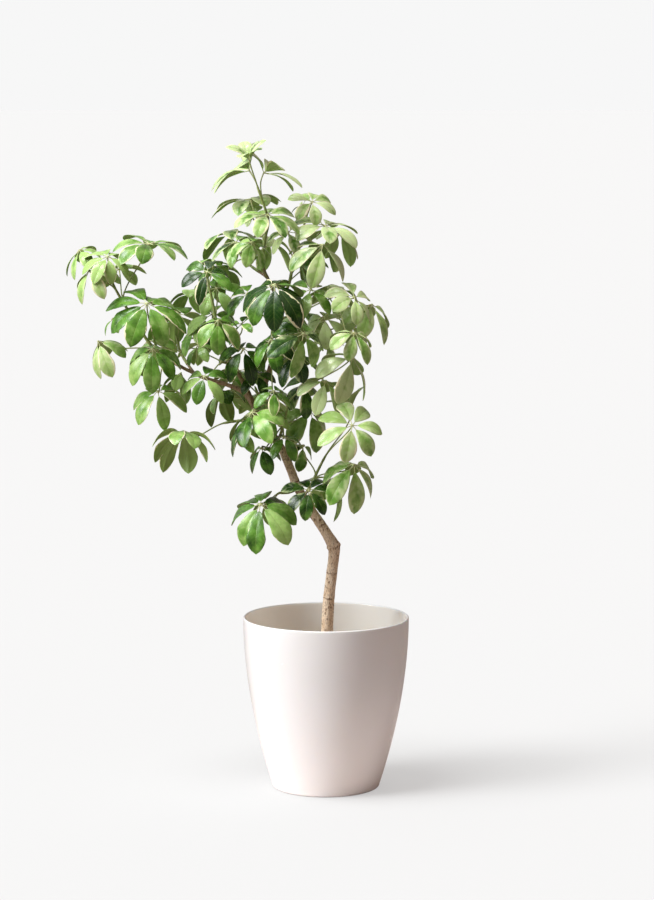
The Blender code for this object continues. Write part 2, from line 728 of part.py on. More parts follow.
def blade_trees(pose, spare):
    """Returns a crossing tree for each blade of a leaf, without the hub."""
    trees = []
    for rib, halves in zip(pose.ribs, pose.halves):
        verts = []
        faces = []
        point, side, face, share = rib[0]
        inner = pose.hub.lerp(point, 0.45)
        verts += [inner - side, inner + side, inner - face * 1.5]
        for (point, side, face, share), wide in zip(rib, halves):
            half = wide + spare
            verts += [point - side * half, point + side * half, point - face * (1.7 + spare)]
        for k in range(0, len(verts) - 3, 3):
            faces += [(k, k + 1, k + 4, k + 3), (k, k + 3, k + 5, k + 2),
                      (k + 1, k + 2, k + 5, k + 4)]
        trees.append(BVHTree.FromPolygons(verts, faces))
    return trees


def holds_together(pose, line):
    """Says whether a leaf's blades keep clear of one another and of their own petiole."""
    trees = blade_trees(pose, 0.25)
    for index, tree in enumerate(trees):
        if any(tree.overlap(other) for other in trees[:index]):
            return False
    lower = petiole_line(pose, line)[:-1]
    verts, faces = tube(lower, lambda t: PETIOLE_RADIUS + 0.3, 4)
    stalk = BVHTree.FromPolygons(verts, faces)
    return not any(stalk.overlap(tree) for tree in trees)


def crosses_itself(solid):
    """Says whether any two faces of a solid that share no corner cross."""
    verts, faces = solid
    tree = BVHTree.FromPolygons(verts, faces)
    return any(a < b and not set(faces[a]) & set(faces[b]) for a, b in tree.overlap(tree))


def petiole_test(pose, line, first):
    """Returns the petiole alone, a little fat, from the given 6 mm step on."""
    fine = even(petiole_line(pose, line), 6.0)
    return tube(fine[first:], lambda t: PETIOLE_RADIUS + 1.0, 4)


def settle(index, line, wood, placed):
    """Returns a leaf's pose that crosses nothing, and its solid, or None after all tries."""
    leaf = LEAVES[index]
    rng = random.Random(1000 + index)
    for attempt in range(TRIES):
        amount = 1.3 * attempt / TRIES
        pose = Pose(leaf, index, line, rng if attempt else None, amount)
        if not holds_together(pose, line):
            continue
        blades = Placed(leaf_solid(pose, line, CLEARANCE, petiole=False))
        if any(blades.meets(other) for other in placed):
            continue
        whole = Placed(petiole_test(pose, line, 0))
        if any(whole.meets(other) for other in wood):
            continue
        stalk = Placed(petiole_test(pose, line, 2))
        if any(stalk.meets(other) for other in placed if other.stem_of != pose.shoot):
            continue
        solid = leaf_solid(pose, line)
        if not crosses_itself(solid):
            return pose, Placed(solid)
    return None


def arrange():
    """Settles every leaf, turned, tilted or shifted a little where it would cross another.

    The leaves are settled from the front to the back. One that finds no room is settled
    first in the next round.
    """
    lines = {}
    wood = [Placed(solid) for solid in trunk_solids()]
    stems = []
    for name in SHOOTS:
        lines[name] = even(stem_rings(name, False)[3], 4.0)[2:]
        stems.append(Placed(stem_solid(name, False), name))
    order = sorted(range(len(LEAVES)), key=lambda i: LEAVES[i][1][1])
    for _ in range(ROUNDS):
        placed = wood + stems
        poses = []
        crowded = []
        for index in order:
            found = settle(index, lines[LEAVES[index][0]], wood, placed)
            if found:
                poses.append(found[0])
                placed.append(found[1])
            else:
                crowded.append(index)
        if not crowded:
            break
        order = crowded + [index for index in order if index not in crowded]
    return poses, lines


def main():
    """Builds the planter, the soil, the trunk and the leafy shoots."""
    for old in list(bpy.data.objects):
        bpy.data.objects.remove(old)
    make_planter()
    make_soil()
    poses, lines = arrange()
    fuse("trunk", trunk_solids(), "trunk")
    for name in SHOOTS:
        solids = [stem_solid(name, False)]
        solids += [leaf_solid(pose, lines[name]) for pose in poses if pose.shoot == name]
        fuse("shoot_" + name, solids, "leaves")


main()
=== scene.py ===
"""The looks of a potted umbrella tree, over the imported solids.

The plant's form is laid out by the same rules and from the same sizes as its solids, in
millimetres, and every solid is then replaced by a finer piece of the same form: a turned
planter, crumbly soil, a bark-covered trunk, and leafy shoots with arched, cream-edged leaflets.
"""

from __future__ import annotations

import logging
import math
import random
from dataclasses import dataclass, field
from enum import Enum
from typing import Any, Callable, Iterable, NamedTuple, Sequence

import bmesh
import bpy
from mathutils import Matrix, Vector
from mathutils.bvhtree import BVHTree

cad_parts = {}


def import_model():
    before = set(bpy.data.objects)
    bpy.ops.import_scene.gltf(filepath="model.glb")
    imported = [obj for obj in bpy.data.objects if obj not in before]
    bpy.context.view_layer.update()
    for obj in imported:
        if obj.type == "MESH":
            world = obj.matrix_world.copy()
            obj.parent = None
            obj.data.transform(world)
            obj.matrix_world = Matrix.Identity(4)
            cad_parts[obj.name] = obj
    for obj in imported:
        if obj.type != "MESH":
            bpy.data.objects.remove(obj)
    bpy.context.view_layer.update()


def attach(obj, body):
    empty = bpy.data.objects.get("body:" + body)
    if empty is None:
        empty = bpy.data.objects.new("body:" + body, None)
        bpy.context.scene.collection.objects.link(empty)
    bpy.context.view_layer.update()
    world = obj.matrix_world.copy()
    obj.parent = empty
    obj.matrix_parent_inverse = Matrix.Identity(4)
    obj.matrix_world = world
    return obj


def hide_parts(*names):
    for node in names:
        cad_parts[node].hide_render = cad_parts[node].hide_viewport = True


LOG = logging.getLogger("umbrella_tree")

MM = 0.001
BODY = "root"

Solid = tuple[list[Vector], list[tuple[int, ...]]]
Tuple3 = tuple[float, float, float]
Colour = tuple[float, float, float, float]
Fixed = tuple[tuple[str, Any], ...]
Ends = tuple[Vector | None, Vector | None]
Socket = bpy.types.NodeSocket


@dataclass(frozen=True)
class ShootPlan:
    """A shoot as laid out: its centre line, its woody length and the radii at both ends, in mm."""

    line: tuple[Tuple3, ...]
    woody: float
    radii: tuple[float, float]


@dataclass(frozen=True)
class LeafPlan:
    """A palmate leaf as laid out, in mm and degrees.

    The compass direction is where the umbrella leans to: 0 right, 90 away, 180 left, 270 viewer.
    """

    shoot: str
    hub: Tuple3
    reach: float
    count: int
    azimuth: float
    lean: float
    droop: float


# Trunk, from the foot up
TRUNK = (
    (0, 0, 120), (1, 0, 200), (2, 0, 285), (5, 0, 342), (10, 0, 388), (14, 0, 421),
    (14, 0, 440), (4, 0, 459), (-11, 5, 482), (-32, 10, 512), (-51, 15, 545),
    (-65, 18, 581), (-79, 20, 613), (-96, 20, 640), (-115, 18, 668), (-126, 15, 684),
)
TRUNK_RADII = (12.0, 6.6)
TRUNK_SIDES = 9
TRUNK_RING = 33.0
KNOB = ((8, 0, 432), (15, -1, 441), (23, -2, 449))
KNOB_RADIUS = 8.5
SPLINE_STEPS = 12

SHOOTS: dict[str, ShootPlan] = {
    "left_limb": ShootPlan(
        ((-126, 15, 678), (-135, 5, 709), (-147, -5, 735), (-161, -15, 765),
         (-178, -20, 798), (-194, -20, 843), (-203, -15, 887), (-212, -10, 925)),
        118.0, (5.6, 2.2)),
    "far_left": ShootPlan(
        ((-131, 10, 696), (-148, 16, 718), (-180, 22, 732), (-218, 25, 743),
         (-266, 20, 767), (-298, 12, 790), (-313, 0, 805), (-331, -5, 831),
         (-351, -10, 865), (-365, -12, 888), (-379, -15, 915), (-386, -15, 935)),
        222.0, (5.0, 2.0)),
    "left_front": ShootPlan(
        ((-266, 20, 767), (-276, 4, 775), (-288, -14, 784), (-300, -34, 800),
         (-306, -48, 825)),
        30.0, (3.4, 2.0)),
    "top": ShootPlan(
        ((-126, 15, 678), (-115, 20, 718), (-104, 25, 749), (-92, 25, 794),
         (-84, 20, 839), (-88, 15, 885), (-100, 10, 915), (-113, 10, 948),
         (-109, 10, 992), (-103, 5, 1028), (-114, 0, 1064), (-122, 0, 1088)),
        288.0, (6.2, 2.0)),
    "top_right": ShootPlan(
        ((-88, 16, 880), (-79, 24, 890), (-70, 30, 904), (-64, 30, 922),
         (-59, 30, 952), (-52, 30, 982), (-45, 28, 1005), (-36, 24, 1026)),
        30.0, (3.6, 2.0)),
    "right_upper": ShootPlan(
        ((-86, 18, 858), (-74, 8, 867), (-58, 0, 876), (-38, -6, 888),
         (-16, -12, 902), (4, -18, 912)),
        28.0, (3.6, 2.0)),
    "right": ShootPlan(
        ((-89, 24, 810), (-76, 14, 816), (-60, 6, 821), (-38, 0, 826), (-14, -8, 830),
         (6, -16, 832)),
        30.0, (3.8, 2.1)),
    "centre_front": ShootPlan(
        ((-95, 25, 785), (-97, 12, 796), (-98, -4, 808), (-97, -24, 822),
         (-95, -44, 838)),
        26.0, (3.8, 2.1)),
    "centre_left": ShootPlan(
        ((-161, -15, 765), (-167, -26, 770), (-176, -38, 776), (-187, -52, 780)),
        20.0, (3.4, 2.1)),
    "fork_left": ShootPlan(
        ((-118, 17, 672), (-130, 4, 672), (-146, -10, 671), (-164, -22, 670),
         (-182, -30, 668)),
        32.0, (3.6, 2.1)),
    "fork_right": ShootPlan(
        ((-88, 20, 628), (-83, 10, 640), (-78, -2, 656), (-72, -12, 680),
         (-68, -18, 706)),
        26.0, (3.4, 2.0)),
    "low_left": ShootPlan(
        ((-51, 15, 545), (-60, 4, 540), (-72, -8, 539), (-86, -22, 541)),
        24.0, (3.2, 2.2)),
    "low_right": ShootPlan(
        ((-42, 12, 529), (-36, -2, 538), (-30, -12, 548), (-24, -16, 560),
         (-14, -20, 582), (-2, -22, 606)),
        28.0, (3.6, 2.1)),
    "back_low": ShootPlan(
        ((-106, 20, 655), (-104, 34, 664), (-108, 52, 678), (-118, 72, 696),
         (-130, 88, 722)),
        30.0, (3.6, 2.1)),
    "back_right": ShootPlan(
        ((-86, 22, 826), (-78, 38, 832), (-64, 56, 838), (-48, 72, 846),
         (-34, 84, 862)),
        30.0, (3.6, 2.1)),
    "back_left": ShootPlan(
        ((-240, 23, 755), (-246, 38, 762), (-256, 54, 774), (-266, 66, 792),
         (-272, 74, 816)),
        28.0, (3.4, 2.0)),
    "back_upper": ShootPlan(
        ((-104, 10, 925), (-116, 24, 932), (-130, 42, 940), (-146, 56, 952),
         (-158, 66, 968)),
        30.0, (3.4, 2.0)),
}

LEAVES: list[LeafPlan] = [LeafPlan(*row) for row in (
    ("top", (-132, 0, 1106), 66, 6, 180, 34, -34),
    ("top", (-110, -5, 1112), 56, 6, 0, 42, -30),
    ("top", (-104, -38, 1040), 76, 8, 280, 18, 2),
    ("top", (-128, 26, 1072), 80, 7, 200, 14, 2),
    ("top", (-120, 6, 1122), 40, 5, 270, 10, -58),
    ("top", (-132, 14, 1034), 34, 5, 240, 40, -20),
    ("top", (-155, -12, 990), 58, 6, 235, 28, 26),
    ("top", (-130, -45, 992), 60, 6, 290, 32, 28),
    ("top_right", (-25, 10, 1060), 56, 7, 300, 34, 2),
    ("top_right", (-45, 22, 1052), 28, 4, 180, 40, -10),
    ("top_right", (-5, -12, 1017), 74, 7, 315, 20, 2),
    ("top_right", (-5, -50, 988), 86, 6, 305, 38, 34),
    ("top_right", (-50, 0, 968), 66, 5, 180, 45, 52),
    ("top_right", (-70, -24, 1008), 54, 6, 275, 30, 24),
    ("top_right", (24, 78, 1000), 70, 6, 50, 32, 20),
    ("left_limb", (-210, -55, 940), 62, 6, 265, 44, 10),
    ("left_limb", (-200, 30, 952), 52, 6, 90, 18, 8),
    ("left_limb", (-210, -36, 868), 64, 6, 235, 34, 32),
    ("left_limb", (-190, -78, 856), 68, 6, 268, 36, 34),
    ("left_limb", (-155, -32, 852), 50, 5, 210, 28, 0),
    ("left_limb", (-195, -12, 912), 62, 6, 250, 34, 28),
    ("left_limb", (-232, -10, 835), 60, 6, 220, 30, 28),
    ("left_limb", (-235, 60, 885), 70, 6, 110, 30, 20),
    ("far_left", (-315, -12, 987), 82, 8, 325, 12, 4),
    ("far_left", (-440, 0, 975), 56, 6, 205, 28, 22),
    ("far_left", (-415, -46, 946), 70, 5, 225, 30, 32),
    ("far_left", (-385, -52, 967), 60, 8, 285, 28, 22),
    ("far_left", (-383, 22, 851), 36, 4, 200, 35, 25),
    ("far_left", (-372, 45, 938), 62, 6, 110, 24, 12),
    ("left_front", (-315, -78, 886), 94, 8, 284, 40, 18),
    ("left_front", (-305, -92, 806), 78, 7, 265, 32, 36),
    ("left_front", (-405, -40, 816), 78, 6, 215, 34, 48),
    ("left_front", (-305, -54, 731), 72, 6, 268, 40, 40),
    ("left_front", (-262, 10, 752), 60, 5, 70, 30, 52),
    ("centre_left", (-215, -72, 756), 60, 6, 270, 44, 18),
    ("centre_left", (-222, -15, 803), 48, 5, 215, 34, 28),
    ("centre_left", (-150, -72, 806), 70, 6, 268, 36, 36),
    ("centre_left", (-125, -32, 751), 48, 5, 245, 34, 36),
    ("centre_front", (-90, -112, 922), 94, 8, 262, 36, 32),
    ("centre_front", (-95, -92, 822), 64, 7, 255, 32, 30),
    ("centre_front", (-95, 28, 875), 54, 6, 90, 24, 16),
    ("centre_front", (-90, -48, 729), 50, 5, 270, 36, 28),
    ("centre_front", (-135, -45, 905), 58, 6, 240, 40, 20),
    ("centre_front", (-60, -40, 790), 66, 6, 285, 36, 40),
    ("right_upper", (50, -55, 895), 64, 6, 305, 44, 14),
    ("right_upper", (82, -20, 879), 84, 6, 318, 34, 40),
    ("right_upper", (50, -86, 836), 62, 6, 308, 34, 32),
    ("right", (-42, -74, 846), 80, 7, 285, 42, 36),
    ("right_upper", (-30, -40, 905), 60, 6, 300, 34, 30),
    ("right", (5, -75, 856), 62, 6, 290, 34, 30),
    ("fork_right", (46, -62, 792), 88, 5, 320, 38, 40),
    ("right", (0, -46, 746), 68, 6, 300, 32, 28),
    ("right", (5, -18, 800), 38, 5, 250, 30, 18),
    ("right", (38, 52, 848), 70, 6, 40, 30, 14),
    ("right", (-38, -20, 745), 74, 5, 280, 40, 50),
    ("fork_left", (-150, 0, 650), 52, 5, 200, 34, 30),
    ("fork_left", (-135, -64, 694), 84, 8, 216, 30, 20),
    ("fork_left", (-255, -15, 653), 86, 8, 92, 34, 44),
    ("fork_right", (-98, -54, 683), 46, 6, 265, 30, 24),
    ("fork_right", (-75, -46, 646), 54, 6, 270, 24, 20),
    ("fork_right", (-30, -12, 681), 84, 6, 300, 38, 56),
    ("fork_right", (-112, -32, 621), 56, 5, 240, 40, 46),
    ("low_left", (-120, -72, 533), 96, 8, 264, 38, 36),
    ("low_left", (-105, -10, 528), 52, 4, 120, 40, 30),
    ("low_right", (-30, -55, 551), 58, 7, 270, 44, 12),
    ("low_right", (16, 34, 560), 84, 4, 30, 46, 40),
    ("low_right", (50, -60, 598), 88, 7, 295, 36, 38),
    ("low_right", (42, -82, 673), 74, 7, 285, 46, 4),
    ("low_right", (46, 14, 690), 58, 5, 180, 15, -48),
    ("low_right", (-42, -32, 629), 52, 4, 290, 42, 56),
    ("back_low", (-100, 110, 700), 80, 6, 75, 34, 28),
    ("back_low", (-150, 125, 750), 84, 6, 100, 32, 24),
    ("back_low", (-190, 80, 715), 74, 6, 130, 36, 32),
    ("back_right", (-40, 125, 850), 86, 6, 85, 32, 26),
    ("back_right", (30, 100, 900), 76, 6, 50, 34, 28),
    ("back_right", (-90, 110, 800), 72, 6, 100, 36, 34),
    ("back_left", (-270, 120, 860), 84, 6, 100, 32, 26),
    ("back_left", (-325, 85, 805), 76, 6, 140, 34, 30),
    ("back_left", (-228, 132, 800), 68, 6, 80, 30, 24),
    ("back_upper", (-175, 100, 1000), 78, 6, 110, 26, 22),
    ("back_upper", (-100, 138, 985), 70, 6, 70, 32, 24),
    ("back_upper", (-200, 115, 935), 70, 6, 120, 36, 30),
)]


def smooth_line(points: Sequence[Any], step: float) -> list[Vector]:
    """Draws a smooth curve through points.

    Args:
        points: The points that the curve passes.
        step: The wanted distance between the returned points.

    Returns:
        Evenly spread points on the curve.
    """
    pts = [Vector(p) for p in points]
    pts = [pts[0] * 2 - pts[1]] + pts + [pts[-1] * 2 - pts[-2]]
    fine = []
    for i in range(1, len(pts) - 2):
        a, b, c, d = pts[i - 1:i + 3]
        for k in range(SPLINE_STEPS):
            t = k / SPLINE_STEPS
            fine.append(0.5 * (2 * b + (c - a) * t + (2 * a - 5 * b + 4 * c - d) * t ** 2
                               + (3 * b - a - 3 * c + d) * t ** 3))
    fine.append(pts[-2])
    return even(fine, step)


def even(fine: Sequence[Vector], step: float) -> list[Vector]:
    """Spreads points evenly along a polyline.

    Args:
        fine: The polyline.
        step: About how far apart the returned points are.

    Returns:
        The points, with both ends kept.
    """
    reach = [0.0]
    for p, q in zip(fine, fine[1:]):
        reach.append(reach[-1] + (q - p).length)
    count = max(2, round(reach[-1] / step))
    out = []
    for k in range(count + 1):
        want = reach[-1] * k / count
        i = 0
        while i < len(fine) - 2 and reach[i + 1] < want:
            i += 1
        share = (want - reach[i]) / max(reach[i + 1] - reach[i], 1e-9)
        out.append(fine[i].lerp(fine[i + 1], min(share, 1.0)))
    return out


def part_of(line: Sequence[Vector], start: float, end: float) -> list[Vector]:
    """Cuts a stretch out of a fine polyline.

    Args:
        line: The polyline.
        start: Where the stretch starts, by distance along the line.
        end: Where it ends.

    Returns:
        The points of the stretch.
    """
    out = []
    run = 0.0
    for p, q in zip(line, line[1:]):
        length = (q - p).length
        if start <= run <= end:
            out.append(p)
        for mark in (start, end):
            if run < mark < run + length:
                out.append(p.lerp(q, (mark - run) / length))
        run += length
    if run <= end:
        out.append(line[-1])
    return out


def line_length(line: Sequence[Vector]) -> float:
    """Returns the length of a polyline."""
    return sum((q - p).length for p, q in zip(line, line[1:]))


def frames(line: Sequence[Vector], ends: Ends = (None, None)
           ) -> list[tuple[Vector, Vector]]:
    """Carries a pair of cross vectors along a line without twist.

    Args:
        line: The line.
        ends: The directions of its two ends, where they are given.

    Returns:
        A side vector and an up vector for each point.
    """
    out = []
    side = None
    for i, p in enumerate(line):
        ahead = (line[min(i + 1, len(line) - 1)] - line[max(i - 1, 0)]).normalized()
        if i == 0 and ends[0]:
            ahead = ends[0]
        if i == len(line) - 1 and ends[1]:
            ahead = ends[1]
        if side is None:
            side = ahead.orthogonal().normalized()
        side = (side - ahead * side.dot(ahead)).normalized()
        out.append((side, ahead.cross(side)))
    return out


def ring(centre: Vector, cross: tuple[Vector, Vector], radius: float, sides: int
         ) -> list[Vector]:
    """Returns the corners of a ring, by its centre and its side and up vectors."""
    side, up = cross
    corners = []
    for k in range(sides):
        turn = 2 * math.pi * k / sides
        corners.append(centre + (side * math.cos(turn) + up * math.sin(turn)) * radius)
    return corners


def tube(line: Sequence[Vector], radius_at: Callable[[float], float], sides: int,
         ends: Ends = (None, None)) -> Solid:
    """Makes a closed tube with flat ends round a line.

    Args:
        line: The centre line.
        radius_at: The radius for a share of the line's points.
        sides: The number of sides.
        ends: The directions of the two ends, where they are given.

    Returns:
        The tube's points and faces.
    """
    last = len(line) - 1
    verts = []
    faces = []
    for i, (point, cross) in enumerate(zip(line, frames(line, ends))):
        verts += ring(point, cross, radius_at(i / last), sides)
    for i in range(last):
        for k in range(sides):
            a = i * sides + k
            b = i * sides + (k + 1) % sides
            faces.append((a, b, b + sides, a + sides))
    faces.append(tuple(reversed(range(sides))))
    faces.append(tuple(range(len(verts) - sides, len(verts))))
    return verts, faces


class Stem:
    """A shoot's stem: a woody stretch that belongs to the trunk, then a green one."""

    GAP = 0.3

    def __init__(self, name: str, plan: ShootPlan) -> None:
        """Lays the stem's fine centre line."""
        self.name = name
        self.plan = plan
        self.line = smooth_line(plan.line, 4.0)
        self.length = line_length(self.line)

    def radius(self, at: float) -> float:
        """Returns the stem's radius at a distance along its line."""
        low, high = self.plan.radii
        return low + (high - low) * (at / self.length) ** 0.7

    def stretch(self, woody: bool) -> tuple[float, float]:
        """Returns where the woody or the green stretch starts and ends."""
        if woody:
            return 0.0, self.plan.woody
        return self.plan.woody + self.GAP, self.length

    def rings(self, woody: bool) -> list[Vector]:
        """Returns the centres of the solid's rings along a stretch."""
        start, end = self.stretch(woody)
        return even(part_of(self.line, start, end), 36.0 if woody else 30.0)

    def roots(self) -> list[Vector]:
        """Returns the points of the green stretch where petioles may leave."""
        return even(self.rings(False), 4.0)[2:]

    def solid(self, woody: bool) -> Solid:
        """Returns a stretch of the stem as a coarse tube, as the solids have it."""
        start, end = self.stretch(woody)
        sides = 7 if self.plan.radii[0] > 4.5 else 5
        across = part_of(self.line, self.plan.woody - 3.0, self.plan.woody + 3.0)
        ahead = (across[-1] - across[0]).normalized()
        ends = (None, ahead) if woody else (ahead, None)
        return tube(self.rings(woody), lambda t: self.radius(start + (end - start) * t),
                    sides, ends)


def trunk_radius(share: float) -> float:
    """Returns the trunk's radius, thicker where it leaves the soil and at the old cut."""
    low, high = TRUNK_RADII
    bulge = 1.6 * math.exp(-((share - 0.535) / 0.03) ** 2)
    return low + (high - low) * share ** 1.3 + bulge


class Station(NamedTuple):
    """A place on a leaflet's rib: its point, side and upper vectors, and share of the length."""

    point: Vector
    side: Vector
    face: Vector
    share: float


class Pose:
    """Where a palmate leaf sits and how its umbrella leans, by the rules of the solids."""

    BLADE_WIDTH = 0.38
    STALK_SHARE = 0.17
    STATIONS = (0.17, 0.42, 0.68, 0.88, 1.0)
    SMALL_STATIONS = (0.17, 0.48, 0.82, 1.0)
    SMALL_REACH = 77.0
    BACK = 60
    HUB_SHARE = 0.045
    STALK_HALF = 1.2
    LEAST_HALF = 0.6
    ROOM_SHARE = 0.43
    BLADE_KEEL = 1.3
    PETIOLE_RADIUS = 1.5
    NECK = 8.0
    STEEPEST = 0.5
    OPEN_ANGLE = 75
    HUB_SHIFT = (14, 45, 14)
    AZIMUTH_SHIFT = 35
    LEAN_SHIFT = 14
    DROOP_SHIFT = 10
    BEND = 0.62
    STEEP_BEND = 0.2
    STEEP_DROOP = 0.7
    SAG = Vector((0, 0, -0.5))

    def __init__(self, plan: LeafPlan, seed: int, line: list[Vector],
                 rng: random.Random | None = None, amount: float = 0.0) -> None:
        """Works out a leaf's ribs and widths.

        Args:
            plan: The leaf as laid out.
            seed: The seed of its own unevenness.
            line: The points of its stem.
            rng: The source of the shift that clears its neighbours, if any.
            amount: How large that shift may be.
        """
        spare = [0.0] * 7
        if rng:
            spare = [rng.uniform(-1, 1) * amount for _ in spare]
        own = random.Random(seed)
        self.uneven = [[own.uniform(-1, 1) for _ in range(3)] for _ in range(plan.count)]
        self.plan = plan
        self.seed = seed
        self.line = line
        self.hub = Vector(plan.hub) + Vector([a * b for a, b in zip(self.HUB_SHIFT, spare)])
        self.small = plan.reach < self.SMALL_REACH or plan.hub[1] > self.BACK
        azimuth = math.radians(plan.azimuth + self.AZIMUTH_SHIFT * spare[3])
        lean = math.radians(plan.lean + self.LEAN_SHIFT * spare[4])
        self.droop = math.radians(plan.droop * (1 - 0.3 * amount) + self.DROOP_SHIFT * spare[6])
        around = Vector((math.cos(azimuth), math.sin(azimuth), 0.0))
        self.up = around * math.sin(lean) + Vector((0, 0, 1)) * math.cos(lean)
        self.down = around * math.cos(lean) - Vector((0, 0, 1)) * math.sin(lean)
        self.across = self.up.cross(self.down)
        aim = self.hub - Vector((0, 0, 0.9 * plan.reach))
        self.root = min(line[1:-1], key=lambda p: (p - aim).length)
        back = self.root - self.hub
        self.roll = self.turn_of(back) + math.pi / plan.count * (1 + 0.3 * spare[5])
        self.stalk = (back.normalized() - self.up * 0.8).normalized()
        steepest = max(self.STEEPEST,
                       math.cos(math.radians(self.OPEN_ANGLE) - max(self.droop, 0.0)))
        for _ in range(3):
            steep = max(-self.stalk.dot(self.up), 0.0)
            if steep < steepest:
                self.stalk = (self.stalk - self.up * (steepest - steep) * 1.5).normalized()
        self.ribs = [self.rib(index) for index in range(plan.count)]
        self.halves = [self.half_widths(index) for index in range(plan.count)]

    def outward(self, turn: float) -> Vector:
        """Returns the direction away from the umbrella's axis at a turn round it."""
        return self.down * math.cos(turn) + self.across * math.sin(turn)

    def turn_of(self, arm: Vector) -> float:
        """Returns the turn of a direction round the umbrella's axis."""
        return math.atan2(arm.dot(self.across), arm.dot(self.down))

    def rib(self, index: int) -> list[Station]:
        """Returns a leaflet's stations."""
        uneven = self.uneven[index]
        turn = self.roll + 2 * math.pi * (index + 0.12 * uneven[0]) / self.plan.count
        droop = self.droop + 0.2 * uneven[1]
        out = self.outward(turn)
        ahead = out * math.cos(droop) - self.up * math.sin(droop)
        face = self.up * math.cos(droop) + out * math.sin(droop)
        reach = self.plan.reach * (0.88 + 0.08 * math.cos(turn) + 0.09 * uneven[2])
        point = self.hub.copy()
        stations = []
        last = 0.0
        for share in self.SMALL_STATIONS if self.small else self.STATIONS:
            step = share - last
            open_bend = self.BEND * (share + last) / 2
            bend = open_bend if self.droop < self.STEEP_DROOP else self.STEEP_BEND
            ahead = (ahead - face * bend * step + self.SAG * step * last).normalized()
            face = (face - ahead * face.dot(ahead)).normalized()
            point = point + ahead * reach * step
            stations.append(Station(point.copy(), ahead.cross(face), face.copy(), share))
            last = share
        return stations

    @staticmethod
    def outline(along: float) -> float:
        """Returns a blade's half width as a share of its widest, blunt and widest past middle."""
        return math.sin(math.pi * along ** 1.15) ** 0.62 if 0 < along < 1 else 0.0

    def half_widths(self, index: int) -> list[float]:
        """Returns half the width of a leaflet at each station, clear of its neighbours."""
        halves = []
        for k, station in enumerate(self.ribs[index]):
            along = (station.share - self.STALK_SHARE) / (1 - self.STALK_SHARE)
            wanted = max(self.STALK_HALF,
                         self.outline(along) * self.BLADE_WIDTH / 2 * self.plan.reach)
            halves.append(min(wanted, max(self.room(index, k), self.LEAST_HALF)))
        return halves

    def room(self, index: int, k: int) -> float:
        """Returns the half width that clears both neighbours at a station."""
        point = self.ribs[index][k].point
        before = self.ribs[index - 1][k].point
        after = self.ribs[(index + 1) % self.plan.count][k].point
        return self.ROOM_SHARE * min((before - point).length, (after - point).length)

    def neck(self, below: float) -> Vector:
        """Returns a point of the petiole below the underside of the hub."""
        under = self.hub - self.up * (2.0 + 2.0 * max(math.sin(self.droop), 0.0))
        return under + self.stalk * below

    def petiole(self, count: int | None = None) -> list[Vector]:
        """Returns the petiole's centre line, from inside the stem up to the hub.

        Args:
            count: The number of steps, or None for as few as the solids have.

        Returns:
            The points of the line.
        """
        start = self.root
        end = self.neck(self.NECK)
        base = self.line.index(start)
        along = (self.line[base + 1] - self.line[base - 1]).normalized()
        span = (end - start).length
        ahead = (end - start).normalized()
        first = start + (ahead + along * 0.5 + Vector((0, 0, 0.2))).normalized() * span * 0.35
        second = end + self.stalk * span * 0.3
        count = count or max(2, min(3, round(span / 40)))
        out = []
        for k in range(count + 1):
            t = k / count
            out.append(start * (1 - t) ** 3 + first * 3 * t * (1 - t) ** 2
                       + second * 3 * t * t * (1 - t) + end * t ** 3)
        out.append(self.neck(0.0))
        return out

    def solid(self, spare: float = 0.0, petiole: bool = True) -> Solid:
        """Returns the leaf with its petiole as one coarse closed solid.

        Args:
            spare: How much fatter than the real one it is.
            petiole: Whether it has its whole petiole or only the neck.

        Returns:
            The solid's points and faces.
        """
        verts: list[Vector] = []
        faces: list[tuple[int, ...]] = []
        count = self.plan.count
        notches = []
        web = self.HUB_SHARE * self.plan.reach + 1.0
        for i in range(count):
            turn = self.roll + 2 * math.pi * (i + 0.5) / count
            slope = self.outward(turn) * math.cos(self.droop) - self.up * math.sin(self.droop)
            verts.append(self.hub + slope * web - self.up * 0.3)
            notches.append((turn % (2 * math.pi), i))
        crown = len(verts)
        verts.append(self.hub + self.up * (1.3 + spare))
        for i in range(count):
            self._blade(verts, faces, i, crown, spare)
        centre = self.petiole() if petiole else [self.neck(self.NECK), self.neck(0.0)]
        rings = []
        for point, cross in zip(centre, frames(centre)):
            rings.append(tuple(range(len(verts), len(verts) + 3)))
            verts += ring(point, cross, self.PETIOLE_RADIUS + spare, 3)
        for low, high in zip(rings, rings[1:]):
            for k in range(3):
                after = (k + 1) % 3
                faces += [(low[k], low[after], high[after]), (low[k], high[after], high[k])]
        faces.append(rings[0])
        collar = [(self.turn_of(verts[index] - self.hub) % (2 * math.pi), index)
                  for index in rings[-1]]
        faces += bridge(sorted(notches), sorted(collar))
        return verts, faces

    def _blade(self, verts: list[Vector], faces: list[tuple[int, ...]], i: int, crown: int,
               spare: float) -> None:
        """Adds one keeled leaflet between its two notches."""
        before = (i - 1) % self.plan.count
        rings = []
        stations = self.ribs[i]
        for (point, side, face, _), wide in zip(stations[:-1], self.halves[i]):
            half = wide + spare
            keel = max(self.BLADE_KEEL, 0.16 * half) + spare
            lift = 0.10 * half + spare
            base = len(verts)
            verts += [point + side * half + face * lift, point - side * half + face * lift,
                      point - face * keel]
            rings.append((base, base + 1, base + 2))
        tip = len(verts)
        verts.append(stations[-1].point)
        left, right, low = rings[0]
        faces += [(crown, before, left), (crown, left, right), (crown, right, i)]
        faces += [(before, left, low), (before, low, i), (low, right, i)]
        for (a, b, c), (d, e, f) in zip(rings, rings[1:]):
            faces += [(a, b, e), (a, e, d), (a, d, f), (a, f, c), (b, c, f), (b, f, e)]
        a, b, c = rings[-1]
        faces += [(a, b, tip), (a, tip, c), (b, c, tip)]

